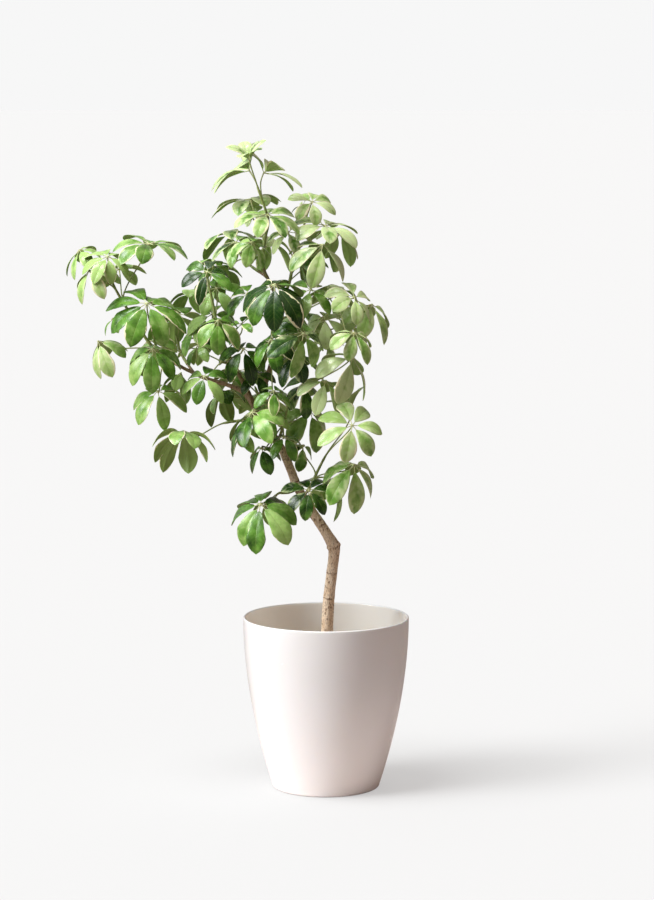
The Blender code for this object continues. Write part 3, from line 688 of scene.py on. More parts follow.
    def blade_trees(self, spare: float) -> list[BVHTree]:
        """Returns a crossing tree for each blade, without the hub."""
        trees = []
        for rib, halves in zip(self.ribs, self.halves):
            foot = rib[0]
            inner = self.hub.lerp(foot.point, 0.45)
            verts = [inner - foot.side, inner + foot.side, inner - foot.face * 1.5]
            faces = []
            for (point, side, face, _), wide in zip(rib, halves):
                half = wide + spare
                verts += [point - side * half, point + side * half,
                          point - face * (1.7 + spare)]
            for k in range(0, len(verts) - 3, 3):
                faces += [(k, k + 1, k + 4, k + 3), (k, k + 3, k + 5, k + 2),
                          (k + 1, k + 2, k + 5, k + 4)]
            trees.append(BVHTree.FromPolygons(verts, faces))
        return trees

    def holds_together(self) -> bool:
        """Says whether the blades keep clear of one another and of their own petiole."""
        trees = self.blade_trees(0.25)
        for index, tree in enumerate(trees):
            if any(tree.overlap(other) for other in trees[:index]):
                return False
        stalk = BVHTree.FromPolygons(*self.petiole_tube(self.petiole()[:-1], 0.3))
        return not any(stalk.overlap(tree) for tree in trees)

    def petiole_tube(self, line: Sequence[Vector], spare: float) -> Solid:
        """Returns a stretch of the petiole alone, a little fat."""
        return tube(line, lambda t: self.PETIOLE_RADIUS + spare, 4)

    def petiole_test(self, first: int) -> Solid:
        """Returns the petiole alone, 1 mm fatter, from the given 6 mm step on."""
        return self.petiole_tube(even(self.petiole(), 6.0)[first:], 1.0)


def bridge(outer: list[tuple[float, int]], inner: list[tuple[float, int]]
           ) -> list[tuple[int, ...]]:
    """Joins two rings of (angle, index), both in rising order, with triangles.

    Args:
        outer: The outer ring.
        inner: The inner ring.

    Returns:
        The triangles.
    """
    faces: list[tuple[int, ...]] = []
    i = j = 0
    full = 2 * math.pi
    while i < len(outer) or j < len(inner):
        next_i = outer[(i + 1) % len(outer)][0] + full * ((i + 1) // len(outer))
        next_j = inner[(j + 1) % len(inner)][0] + full * ((j + 1) // len(inner))
        a = outer[i % len(outer)][1]
        b = inner[j % len(inner)][1]
        if j >= len(inner) or (i < len(outer) and next_i <= next_j):
            faces.append((a, outer[(i + 1) % len(outer)][1], b))
            i += 1
        else:
            faces.append((a, inner[(j + 1) % len(inner)][1], b))
            j += 1
    return faces


class Placed:
    """A solid that is already in its place, with a tree for crossing tests."""

    def __init__(self, solid: Solid, stem_of: str | None = None) -> None:
        """Keeps a solid's tree and box, and the name of the shoot whose stem it is."""
        verts, faces = solid
        self.tree = BVHTree.FromPolygons(verts, faces)
        self.stem_of = stem_of
        self.low = Vector([min(v[k] for v in verts) for k in range(3)])
        self.high = Vector([max(v[k] for v in verts) for k in range(3)])

    def meets(self, other: Placed) -> bool:
        """Says whether the surfaces of two solids cross."""
        for k in range(3):
            if self.low[k] > other.high[k] or other.low[k] > self.high[k]:
                return False
        return bool(self.tree.overlap(other.tree))


def crosses_itself(solid: Solid) -> bool:
    """Says whether any two faces of a solid that share no corner cross."""
    verts, faces = solid
    tree = BVHTree.FromPolygons(verts, faces)
    return any(a < b and not set(faces[a]) & set(faces[b]) for a, b in tree.overlap(tree))


class Layout:
    """The settled layout of the whole plant: its stems and the pose of every leaf."""

    CLEARANCE = 2.0
    TRIES = 300
    ROUNDS = 5

    def __init__(self) -> None:
        """Settles every leaf from the front to the back, as the solids do."""
        self.stems = {name: Stem(name, plan) for name, plan in SHOOTS.items()}
        self.wood = [Placed(solid) for solid in self._trunk_solids()]
        self.roots = {name: stem.roots() for name, stem in self.stems.items()}
        stems = [Placed(stem.solid(False), name) for name, stem in self.stems.items()]
        order = sorted(range(len(LEAVES)), key=lambda i: LEAVES[i].hub[1])
        self.poses: list[Pose] = []
        for _ in range(self.ROUNDS):
            placed = self.wood + stems
            self.poses = []
            crowded = []
            for index in order:
                pose = self._settle(index, placed)
                if pose:
                    self.poses.append(pose)
                    placed.append(Placed(pose.solid()))
                else:
                    crowded.append(index)
            if not crowded:
                break
            order = crowded + [index for index in order if index not in crowded]

    def _trunk_solids(self) -> list[Solid]:
        """Returns the trunk, its knob and the woody stretch of each shoot, coarse."""
        solids = [tube(smooth_line(TRUNK, TRUNK_RING), trunk_radius, TRUNK_SIDES)]
        solids.append(tube([Vector(p) for p in KNOB], lambda t: KNOB_RADIUS - 1.5 * t * t, 7))
        solids += [stem.solid(True) for stem in self.stems.values()]
        return solids

    def _settle(self, index: int, placed: list[Placed]) -> Pose | None:
        """Returns a leaf's pose that crosses nothing, or None after all tries."""
        plan = LEAVES[index]
        rng = random.Random(1000 + index)
        for attempt in range(self.TRIES):
            amount = 1.3 * attempt / self.TRIES
            pose = Pose(plan, index, self.roots[plan.shoot], rng if attempt else None, amount)
            if not pose.holds_together():
                continue
            blades = Placed(pose.solid(self.CLEARANCE, petiole=False))
            if any(blades.meets(other) for other in placed):
                continue
            whole = Placed(pose.petiole_test(0))
            if any(whole.meets(other) for other in self.wood):
                continue
            stalk = Placed(pose.petiole_test(2))
            if any(stalk.meets(other) for other in placed if other.stem_of != plan.shoot):
                continue
            if not crosses_itself(pose.solid()):
                return pose
        return None


class Bench:
    """Adds and links nodes in one tree, for geometry or for shading."""

    def __init__(self, tree: bpy.types.NodeTree) -> None:
        """Takes the tree to work in."""
        self.tree = tree

    def node(self, kind: str, inputs: dict[Any, Any] | None = None,
             **settings: Any) -> bpy.types.Node:
        """Adds a node.

        Args:
            kind: Its type.
            inputs: What to feed to its inputs, by their names or numbers.
            **settings: Its properties.

        Returns:
            The node.
        """
        made = self.tree.nodes.new(kind)
        for key, value in settings.items():
            setattr(made, key, value)
        for key, value in (inputs or {}).items():
            self.feed(made.inputs[key], value)
        return made

    def feed(self, socket: Socket, value: Any) -> None:
        """Links another node's socket to an input, or sets the input to a plain value."""
        if isinstance(value, Socket):
            self.tree.links.new(value, socket)
        else:
            socket.default_value = value

    def math(self, operation: str, *values: Any) -> Socket:
        """Returns the result of a Math node."""
        return self.node("ShaderNodeMath", dict(enumerate(values)), operation=operation).outputs[0]

    def times(self, value: Any, factor: Any, plus: Any = None) -> Socket:
        """Returns a value times a factor, plus a third one where it is given."""
        if plus is None:
            return self.math("MULTIPLY", value, factor)
        return self.math("MULTIPLY_ADD", value, factor, plus)

    def vector(self, operation: str, *values: Any) -> Socket:
        """Returns the vector result of a Vector Math node."""
        keys = ("Vector", "Scale") if operation == "SCALE" else (0, 1)
        made = self.node("ShaderNodeVectorMath", dict(zip(keys, values)), operation=operation)
        return made.outputs["Vector"]

    def split(self, vector: Any) -> Sequence[Socket]:
        """Returns the three parts of a vector."""
        return self.node("ShaderNodeSeparateXYZ", {0: vector}).outputs

    def joined(self, *parts: Any) -> Socket:
        """Returns the vector of up to three parts."""
        return self.node("ShaderNodeCombineXYZ", dict(enumerate(parts))).outputs[0]

    def step(self, value: Any, low: float, high: float, to_low: float = 0.0,
             to_high: float = 1.0) -> Socket:
        """Returns a smooth step from to_low at low to to_high at high."""
        given = {"Value": value, "From Min": low, "From Max": high, "To Min": to_low,
                 "To Max": to_high}
        return self.node("ShaderNodeMapRange", given,
                         interpolation_type="SMOOTHSTEP").outputs[0]

    def mix(self, share: Any, first: Any, second: Any) -> Socket:
        """Returns a mix of two colours."""
        return self.node("ShaderNodeMix", {0: share, 6: first, 7: second},
                         data_type="RGBA").outputs[2]

    def coats(self, colour: Any, *coats: tuple[Any, Any]) -> Socket:
        """Returns a colour under coats, each with its share and its colour."""
        for share, coat in coats:
            colour = self.mix(share, colour, coat)
        return colour

    def noise(self, where: Any, scale: float, detail: float, rough: float = 0.5) -> Socket:
        """Returns the value of a Noise texture."""
        return self.node("ShaderNodeTexNoise", {
            "Vector": where, "Scale": scale, "Detail": detail, "Roughness": rough}).outputs[0]

    def seen_apart(self, seen: Any, light: Any) -> Socket:
        """Returns a shader that the camera sees in one way and that lights in another."""
        ray = self.node("ShaderNodeLightPath").outputs["Is Camera Ray"]
        return self.node("ShaderNodeMixShader", {0: ray, 1: light, 2: seen}).outputs[0]


class Carried(Enum):
    """The values that the plant's mesh points carry for their material."""

    ALONG = "along"
    ACROSS = "across"
    UNDER = "under"
    TINT = "tint"
    YOUNG = "young"
    PALE = "pale"
    RUN = "run"


class SurfaceBench(Bench):
    """A bench for a finish: one group with a colour, a roughness and a height."""

    OUTPUTS = {"Colour": "NodeSocketColor", "Roughness": "NodeSocketFloat",
               "Height": "NodeSocketFloat"}

    def __init__(self, name: str) -> None:
        """Makes the group with its three outputs."""
        super().__init__(bpy.data.node_groups.new(name, "ShaderNodeTree"))
        for label, kind in self.OUTPUTS.items():
            self.tree.interface.new_socket(label, in_out="OUTPUT", socket_type=kind)

    def place(self, long: float = 1.0) -> Socket:
        """Returns the Object coordinates, with the height scaled."""
        place = self.node("ShaderNodeTexCoord").outputs["Object"]
        if long == 1.0:
            return place
        scaled = self.node("ShaderNodeMapping", {"Vector": place, "Scale": (1.0, 1.0, long)})
        return scaled.outputs[0]

    def grain(self, scale: float, detail: float, rough: float = 0.5,
              long: float = 1.0) -> Socket:
        """Returns noise over the piece, lengthened upwards where long is below 1."""
        return self.noise(self.place(long), scale, detail, rough)

    def swing(self, scale: float, detail: float) -> Socket:
        """Returns noise over the piece that swings about 0."""
        return self.math("SUBTRACT", self.grain(scale, detail), 0.5)

    def carried(self, what: Carried) -> Socket:
        """Returns a value that the mesh points carry."""
        return self.node("ShaderNodeAttribute", attribute_name=what.value).outputs["Fac"]

    def finish(self, *values: Any) -> bpy.types.NodeTree:
        """Feeds the three outputs in their order and returns the group."""
        self.node("NodeGroupOutput", dict(zip(self.OUTPUTS, values)))
        return self.tree


def rgb(*channels: float) -> Colour:
    """Turns a display colour of 0 to 255 into a linear one."""
    shares = [value / 255 for value in channels]
    red, green, blue = (share / 12.92 if share <= 0.04045 else ((share + 0.055) / 1.055) ** 2.4
                        for share in shares)
    return (red, green, blue, 1.0)


@dataclass(frozen=True)
class Finish:
    """A procedural finish. Each kind draws its own surface."""

    name: str
    bump: float = 0.2
    bump_distance: float = 0.0005
    fixed: Fixed = ()

    def surface(self) -> bpy.types.NodeTree:
        """Returns the finish's group of colour, roughness and height."""
        raise NotImplementedError

    def material(self) -> bpy.types.Material:
        """Returns the finish as a material, made once."""
        found = bpy.data.materials.get(self.name)
        if found:
            return found
        made = bpy.data.materials.new(self.name)
        made.use_nodes = True
        bench = Bench(made.node_tree)
        shader = made.node_tree.nodes["Principled BSDF"]
        drawn = bench.node("ShaderNodeGroup", node_tree=self.surface()).outputs
        raised = bench.node("ShaderNodeBump", {
            "Strength": self.bump, "Distance": self.bump_distance, "Height": drawn["Height"]})
        looks = {"Base Color": drawn["Colour"], "Roughness": drawn["Roughness"],
                 "Normal": raised.outputs["Normal"], **dict(self.fixed)}
        for socket, value in looks.items():
            bench.feed(shader.inputs[socket], value)
        return made


@dataclass(frozen=True)
class PlanterFinish(Finish):
    """Warm white glossy moulded plastic, with the faint ripple of a moulded wall."""

    name: str = "planter_gloss"
    body: Colour = rgb(239, 238, 238)
    warm: Colour = rgb(237, 236, 235)
    bump: float = 0.12
    bump_distance: float = 0.0004
    fixed: Fixed = (("Coat Weight", 0.3), ("Coat Roughness", 0.08), ("Subsurface Weight", 0.15),
                    ("Subsurface Radius", (1.0, 0.72, 0.52)), ("Subsurface Scale", 0.004))

    def surface(self) -> bpy.types.NodeTree:
        """Draws a nearly even coat, a shade warmer in clouds."""
        bench = SurfaceBench(self.name)
        colour = bench.mix(bench.step(bench.grain(7.0, 3.0), 0.35, 0.7), self.body, self.warm)
        rough = bench.times(bench.grain(30.0, 3.0), 0.10, 0.20)
        ripple = bench.grain(26.0, 1.0, long=0.35)
        return bench.finish(colour, rough, bench.times(bench.grain(420.0, 2.0), 0.05, ripple))


@dataclass(frozen=True)
class PlanterInsideFinish(PlanterFinish):
    """The same plastic as the inside shows it: a warmer, paler base colour paints the glow of light
    through the thin wall, on top of real subsurface light.
    """

    name: str = "planter_inside_painted_glow"
    # Painted glow: these warm base colours stand in for light shining through the wall.
    body: Colour = rgb(254, 242, 229)
    warm: Colour = rgb(253, 240, 226)
    fixed: Fixed = (("Subsurface Weight", 0.8), ("Subsurface Radius", (1.0, 0.84, 0.74)),
                    ("Subsurface Scale", 0.018))


@dataclass(frozen=True)
class SoilFinish(Finish):
    """Dark crumbly potting mix."""

    name: str = "potting_mix"
    dark: Colour = rgb(84, 64, 48)
    light: Colour = rgb(156, 128, 100)
    bump: float = 0.9
    bump_distance: float = 0.002

    def surface(self) -> bpy.types.NodeTree:
        """Draws crumbs of light and dark brown."""
        bench = SurfaceBench(self.name)
        crumbs = bench.grain(160.0, 5.0, 0.65)
        share = bench.times(bench.step(crumbs, 0.42, 0.72),
                            bench.step(bench.grain(24.0, 2.0), 0.3, 0.7, 0.3, 1.0))
        return bench.finish(bench.mix(share, self.dark, self.light), 0.92, crumbs)


@dataclass(frozen=True)
class BarkFinish(Finish):
    """Smooth pale bark with fine lengthwise wrinkles, lenticels and ring scars."""

    name: str = "pale_bark"
    pale: Colour = rgb(253, 232, 206)
    tan: Colour = rgb(234, 204, 170)
    brown: Colour = rgb(124, 86, 54)
    green: Colour = rgb(112, 118, 58)
    bump: float = 0.8
    bump_distance: float = 0.002
    ring_turn: float = 3.14159

    def surface(self) -> bpy.types.NodeTree:
        """Draws streaks, dots and rings, greener towards the young ends."""
        bench = SurfaceBench(self.name)
        streaks = bench.grain(190.0, 4.0, 0.6, 0.22)
        dots = bench.node("ShaderNodeTexVoronoi", {"Vector": bench.place(0.55), "Scale": 210.0})
        lenticels = bench.times(bench.step(dots.outputs["Distance"], 0.22, 0.42, 1.0, 0.0),
                                bench.step(bench.grain(75.0, 1.0), 0.42, 0.55))
        specks = bench.step(bench.grain(480.0, 2.0, long=0.6), 0.46, 0.64)
        wander = bench.times(bench.grain(60.0, 2.0), 0.16, bench.carried(Carried.RUN))
        ring_at = bench.math("SINE", bench.times(wander, self.ring_turn))
        rings = bench.times(bench.step(bench.math("ABSOLUTE", ring_at), 0.03, 0.13, 1.0, 0.0),
                            bench.step(bench.grain(45.0, 2.0), 0.42, 0.6))
        colour = bench.coats(
            self.tan,
            (bench.step(streaks, 0.32, 0.68), self.pale),
            (bench.step(bench.grain(34.0, 3.0), 0.45, 0.8, 0.0, 0.5), self.tan),
            (bench.times(lenticels, 0.75), self.brown),
            (bench.times(specks, 0.42), self.brown),
            (bench.times(rings, 0.6), self.brown),
            (bench.times(bench.carried(Carried.TINT), 0.8), self.brown),
            (bench.step(bench.carried(Carried.YOUNG), 0.0, 1.0, 0.0, 0.75), self.green))
        height = bench.times(rings, 0.8, bench.times(lenticels, 0.5, streaks))
        return bench.finish(colour, bench.times(streaks, 0.2, 0.6), height)


@dataclass(frozen=True)
class StalkFinish(Finish):
    """Green stems and petioles, paler and cream where they carry the leaflets."""

    name: str = "green_stalk"
    green: Colour = rgb(132, 152, 72)
    grey: Colour = rgb(172, 184, 118)
    cream: Colour = rgb(228, 228, 178)
    brown: Colour = rgb(96, 84, 48)
    bump: float = 0.25
    bump_distance: float = 0.0005
    fixed: Fixed = (("Subsurface Weight", 0.1), ("Subsurface Scale", 0.001))

    def surface(self) -> bpy.types.NodeTree:
        """Draws lengthwise shades between green, grey-green and cream."""
        bench = SurfaceBench(self.name)
        streaks = bench.grain(220.0, 3.0, long=0.3)
        colour = bench.coats(
            self.green,
            (bench.step(streaks, 0.3, 0.7), self.grey),
            (bench.step(bench.grain(38.0, 2.0), 0.52, 0.75, 0.0, 0.3), self.brown),
            (bench.carried(Carried.PALE), self.cream))
        return bench.finish(colour, 0.5, streaks)


@dataclass(frozen=True)
class LeafFinish(Finish):
    """Waxy leaflets: green clouds, a pale green that partly paints sunlight, side veins and a broken
    cream margin.
    """

    name: str = "variegated_leaf"
    dark: Colour = rgb(23, 60, 5)
    mid: Colour = rgb(102, 154, 50)
    light: Colour = rgb(178, 212, 122)
    # Partly the leaves' own pale variegation, partly painted sunlight laid on the right of the crown.
    flush_and_sunlight: Colour = rgb(203, 222, 158)
    cream: Colour = rgb(251, 248, 202)
    rib: Colour = rgb(158, 180, 96)
    # The undersides' own paler colour, lightened further as painted backlight shining through the leaf.
    below: Colour = rgb(146, 172, 92)
    bump: float = 0.4
    bump_distance: float = 0.0008
    fixed: Fixed = (("Subsurface Weight", 0.10), ("Subsurface Radius", (0.5, 1.0, 0.15)),
                    ("Subsurface Scale", 0.002), ("Specular IOR Level", 0.42),
                    ("Coat Weight", 0.12), ("Coat Roughness", 0.38))

    def surface(self) -> bpy.types.NodeTree:
        """Draws the leaflet from where it is along and across the blade."""
        bench = SurfaceBench(self.name)
        along = bench.carried(Carried.ALONG)
        side = bench.math("ABSOLUTE", bench.carried(Carried.ACROSS))
        tint = bench.carried(Carried.TINT)
        under = bench.carried(Carried.UNDER)
        slant = bench.times(side, -0.22, along)
        clouds = bench.grain(55.0, 3.0)
        shade = bench.times(tint, 1.3, bench.math("SUBTRACT", clouds, 0.62))
        veins = bench.step(bench.math("SINE", bench.times(slant, 60.0)), 0.80, 1.0)
        midrib = bench.step(side, 0.015, 0.07, 1.0, 0.0)
        colour = bench.coats(
            self.dark,
            (bench.step(shade, 0.1, 0.65), self.mid),
            (bench.step(shade, 0.5, 0.95, 0.0, 0.85), self.light),
            (self._sunlit_flush_share(bench, side, slant), self.flush_and_sunlight),
            (bench.times(veins, 0.08), self.rib),
            (bench.times(midrib, 0.2), self.rib),
            # Partly painted backlight: the undersides' pale colour.
            (bench.times(under, 0.8), self.below),
            (self._margin(bench, along, side, tint), self.cream))
        rough = bench.times(under, 0.25, bench.times(clouds, 0.14, 0.20))
        height = bench.times(midrib, -0.8, bench.times(veins, -0.15))
        height = bench.times(bench.grain(260.0, 2.0), 0.25, height)
        return bench.finish(colour, rough, height)

    @staticmethod
    def _sunlit_flush_share(bench: SurfaceBench, side: Socket, slant: Socket) -> Socket:
        """Returns the share of pale green, which runs in along the side veins and reaches further on
        paler leaves, partly as painted sunlight.
        """
        fingers = bench.math("SINE", bench.times(slant, 30.0))
        reach = bench.times(side, 0.45, bench.times(bench.carried(Carried.PALE), 1.05))
        reach = bench.times(bench.swing(48.0, 2.0), 1.3, reach)
        reach = bench.times(fingers, 0.06, reach)
        return bench.times(bench.step(reach, 0.55, 0.95), 0.92)

    @staticmethod
    def _margin(bench: SurfaceBench, along: Socket, side: Socket, tint: Socket) -> Socket:
        """Returns the cream margin: wide on some leaflets, thin and broken on others."""
        spread = bench.times(bench.swing(42.0, 2.0), 0.95, side)
        spread = bench.times(bench.swing(160.0, 2.0), 0.30, spread)
        tip = bench.times(bench.step(along, 0.80, 1.0), 0.10)
        base = bench.times(bench.step(along, 0.0, 0.16, 1.0, 0.0), 0.12)
        spread = bench.math("ADD", spread, bench.math("ADD", tip, base))
        odd = bench.math("FRACT", bench.times(tint, 7.31))
        spread = bench.times(bench.math("POWER", odd, 3.0), 0.30, spread)
        return bench.step(spread, 1.055, 1.115)


@dataclass(frozen=True)
class FloorFinish(Finish):
    """Plain pale studio floor, which sends little of its light back up."""

    name: str = "studio_floor"
    pale: Colour = (0.290, 0.290, 0.288, 1.0)
    bounce_near: Colour = (0.66, 0.56, 0.52, 1.0)
    bounce_far: Colour = (0.22, 0.18, 0.165, 1.0)
    bump: float = 0.0
    near: float = 0.15
    far: float = 0.8
    fixed: Fixed = (("Specular IOR Level", 0.0), ("Emission Color", (1.0, 1.0, 1.0, 1.0)),
                    ("Emission Strength", 0.463))

    def surface(self) -> bpy.types.NodeTree:
        """Draws an even floor."""
        return SurfaceBench(self.name).finish(self.pale, 1.0, 0.0)

    def material(self) -> bpy.types.Material:
        """Returns the floor, darker for the light that it sends back up."""
        made = super().material()
        nodes = made.node_tree.nodes
        bench = Bench(made.node_tree)
        place = bench.node("ShaderNodeTexCoord").outputs["Object"]
        away = bench.node("ShaderNodeVectorMath", {0: place}, operation="LENGTH")
        bounce = bench.mix(bench.step(away.outputs["Value"], self.near, self.far),
                           self.bounce_near, self.bounce_far)
        back = bench.node("ShaderNodeBsdfDiffuse", {"Color": bounce}).outputs[0]
        bench.feed(nodes["Material Output"].inputs["Surface"],
                   bench.seen_apart(nodes["Principled BSDF"].outputs[0], back))
        return made


def put(name: str, data: Any) -> bpy.types.Object:
    """Returns a new object with the given data, in the scene."""
    made = bpy.data.objects.new(name, data)
    bpy.context.scene.collection.objects.link(made)
    return made


class GeometryBench(Bench):
    """A bench for a geometry tree with named inputs and one geometry in and out."""

    KINDS = {int: "NodeSocketInt", float: "NodeSocketFloat"}

    def __init__(self, name: str, sizes: dict[str, Any]) -> None:
        """Makes the tree.

        Args:
            name: The tree's name.
            sizes: The value of each named input.
        """
        super().__init__(bpy.data.node_groups.new(name, "GeometryNodeTree"))
        self.tree.is_modifier = True
        self.sizes = sizes
        face = self.tree.interface
        face.new_socket("Geometry", in_out="INPUT", socket_type="NodeSocketGeometry")
        for label, value in sizes.items():
            kind = self.KINDS.get(type(value), "NodeSocketObject")
            face.new_socket(label, in_out="INPUT", socket_type=kind)
        face.new_socket("Geometry", in_out="OUTPUT", socket_type="NodeSocketGeometry")
        self.given = self.node("NodeGroupInput")

    def size(self, name: str) -> Socket:
        """Returns a named input, or the geometry that the tree is given."""
        return self.given.outputs[name]

    def position(self) -> Socket:
        """Returns where each point is."""
        return self.node("GeometryNodeInputPosition").outputs[0]

    def normal(self) -> Socket:
        """Returns which way each point faces."""
        return self.node("GeometryNodeInputNormal").outputs[0]

    def named(self, what: str, kind: str = "FLOAT") -> Socket:
        """Returns a named attribute."""
        return self.node("GeometryNodeInputNamedAttribute", {"Name": what},
                         data_type=kind).outputs["Attribute"]

    def through(self, kind: str, geometry: Any, inputs: dict[str, Any] | None = None,
                **settings: Any) -> Socket:
        """Passes geometry through a node whose first input and output are geometry."""
        return self.node(kind, {0: geometry, **(inputs or {})}, **settings).outputs[0]

    def keep(self, geometry: Any, what: str, value: Any) -> Socket:
        """Stores a named value on the points."""
        return self.through("GeometryNodeStoreNamedAttribute", geometry,
                            {"Name": what, "Value": value}, data_type="FLOAT", domain="POINT")

    def move(self, geometry: Any, **how: Any) -> Socket:
        """Moves points to a Position or by an Offset."""
        return self.through("GeometryNodeSetPosition", geometry, how)

    def pick(self, geometry: Any, value: Any, index: Any, kind: str = "FLOAT") -> Socket:
        """Returns the value of one point of another geometry, by the point's index."""
        return self.node("GeometryNodeSampleIndex", {
            "Geometry": geometry, "Value": value, "Index": index}, data_type=kind).outputs[0]

    def blur(self, value: Any, times: int, kind: str = "FLOAT") -> Socket:
        """Returns a value evened out among neighbouring points."""
        return self.node("GeometryNodeBlurAttribute", {"Value": value, "Iterations": times},
                         data_type=kind).outputs[0]

    def circle(self, points: str) -> Socket:
        """Returns a circle of radius 1 with as many points as the named input says."""
        return self.node("GeometryNodeCurvePrimitiveCircle", {
            "Resolution": self.size(points), "Radius": 1.0}).outputs[0]

    def sweep(self, paths: Any, section: Any) -> Socket:
        """Sweeps a section along paths, by their thickness, and caps the ends."""
        return self.node("GeometryNodeCurveToMesh", {
            "Curve": paths, "Profile Curve": section, "Scale": self.named("thick"),
            "Fill Caps": True}).outputs[0]

    def dressed(self, geometry: Any, finish: Finish) -> Socket:
        """Shades geometry smooth and gives it a finish."""
        smooth = self.through("GeometryNodeSetShadeSmooth", geometry)
        return self.through("GeometryNodeSetMaterial", smooth,
                            {"Material": finish.material()})

    def end(self, *geometries: Any) -> None:
        """Joins and realizes the results as the tree's output."""
        joined = self.node("GeometryNodeJoinGeometry")
        for geometry in geometries:
            self.feed(joined.inputs[0], geometry)
        solid = self.through("GeometryNodeRealizeInstances", joined.outputs[0])
        self.node("NodeGroupOutput", {0: solid})

    def run(self, name: str, mesh: bpy.types.Mesh) -> bpy.types.Object:
        """Runs the tree on a mesh and returns the result as a plain mesh object.

        Args:
            name: The name of the piece.
            mesh: What the tree is given.

        Returns:
            The piece, at the origin, with no modifier left.
        """
        worker = put(name + "_worker", mesh)
        modifier = worker.modifiers.new("shape", "NODES")
        modifier.node_group = self.tree
        for item in self.tree.interface.items_tree:
            if item.in_out == "INPUT" and item.name in self.sizes:
                modifier[item.identifier] = self.sizes[item.name]
        result = evaluated_mesh(worker)
        result.name = name
        bpy.data.objects.remove(worker)
        return put(name, result)


def evaluated_mesh(worker: bpy.types.Object) -> bpy.types.Mesh:
    """Returns what an object's modifiers make of it, as a plain mesh."""
    evaluated = worker.evaluated_get(bpy.context.evaluated_depsgraph_get())
    return bpy.data.meshes.new_from_object(evaluated)


class PathMesh:
    """Collects lines of points, each with carried values, as one mesh for a geometry tree."""

    def __init__(self) -> None:
        """Starts with no lines."""
        self.points: list[Vector] = []
        self.edges: list[tuple[int, int]] = []
        self.values: dict[str, list[float]] = {}
        self.faces: list[Vector] = []

    def add(self, line: Sequence[Vector], thick: Sequence[float],
            face: Sequence[Vector] | None = None, **carried: Any) -> None:
        """Adds one line.

        Args:
            line: Its points, in mm.
            thick: The radius or half width at each point, in mm.
            face: The upper vector at each point, where it has one.
            **carried: A number for the whole line, or one for each of its points.
        """
        base = len(self.points)
        self.points += [p * MM for p in line]
        self.edges += [(base + i, base + i + 1) for i in range(len(line) - 1)]
        self.faces += face or [Vector((0, 0, 1))] * len(line)
        carried["thick"] = [t * MM for t in thick]
        for name, value in carried.items():
            each = value if isinstance(value, list) else [value] * len(line)
            self.values.setdefault(name, [0.0] * base).extend(each)
        for each in self.values.values():
            each.extend([0.0] * (len(self.points) - len(each)))

    def mesh(self, name: str) -> bpy.types.Mesh:
        """Returns the lines as a mesh of edges."""
        made = bpy.data.meshes.new(name)
        made.from_pydata(self.points, self.edges, [])
        for key, each in self.values.items():
            made.attributes.new(key, "FLOAT", "POINT").data.foreach_set("value", each)
        flat = [c for v in self.faces for c in v]
        made.attributes.new("face", "FLOAT_VECTOR", "POINT").data.foreach_set("vector", flat)
        return made


def replace_node(piece: bpy.types.Object, node: str) -> None:
    """Lets a finished piece stand for a solid and logs its size."""
    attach(piece, BODY)
    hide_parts(node)
    triangles = sum(len(face.vertices) - 2 for face in piece.data.polygons)
    LOG.info("%s stands for %s with %d triangles", piece.name, node, triangles)


def arc(centre: tuple[float, float], radius: float, turns: tuple[float, float],
        steps: int) -> list[tuple[float, float]]:
    """Returns the points of an arc.

    Args:
        centre: Its centre.
        radius: Its radius.
        turns: The angles of its two ends, in degrees.
        steps: The number of steps between them.

    Returns:
        The points, with both ends.
    """
    start, end = turns
    points = []
    for k in range(steps + 1):
        turn = math.radians(start + (end - start) * k / steps)
        points.append((centre[0] + radius * math.cos(turn), centre[1] + radius * math.sin(turn)))
    return points


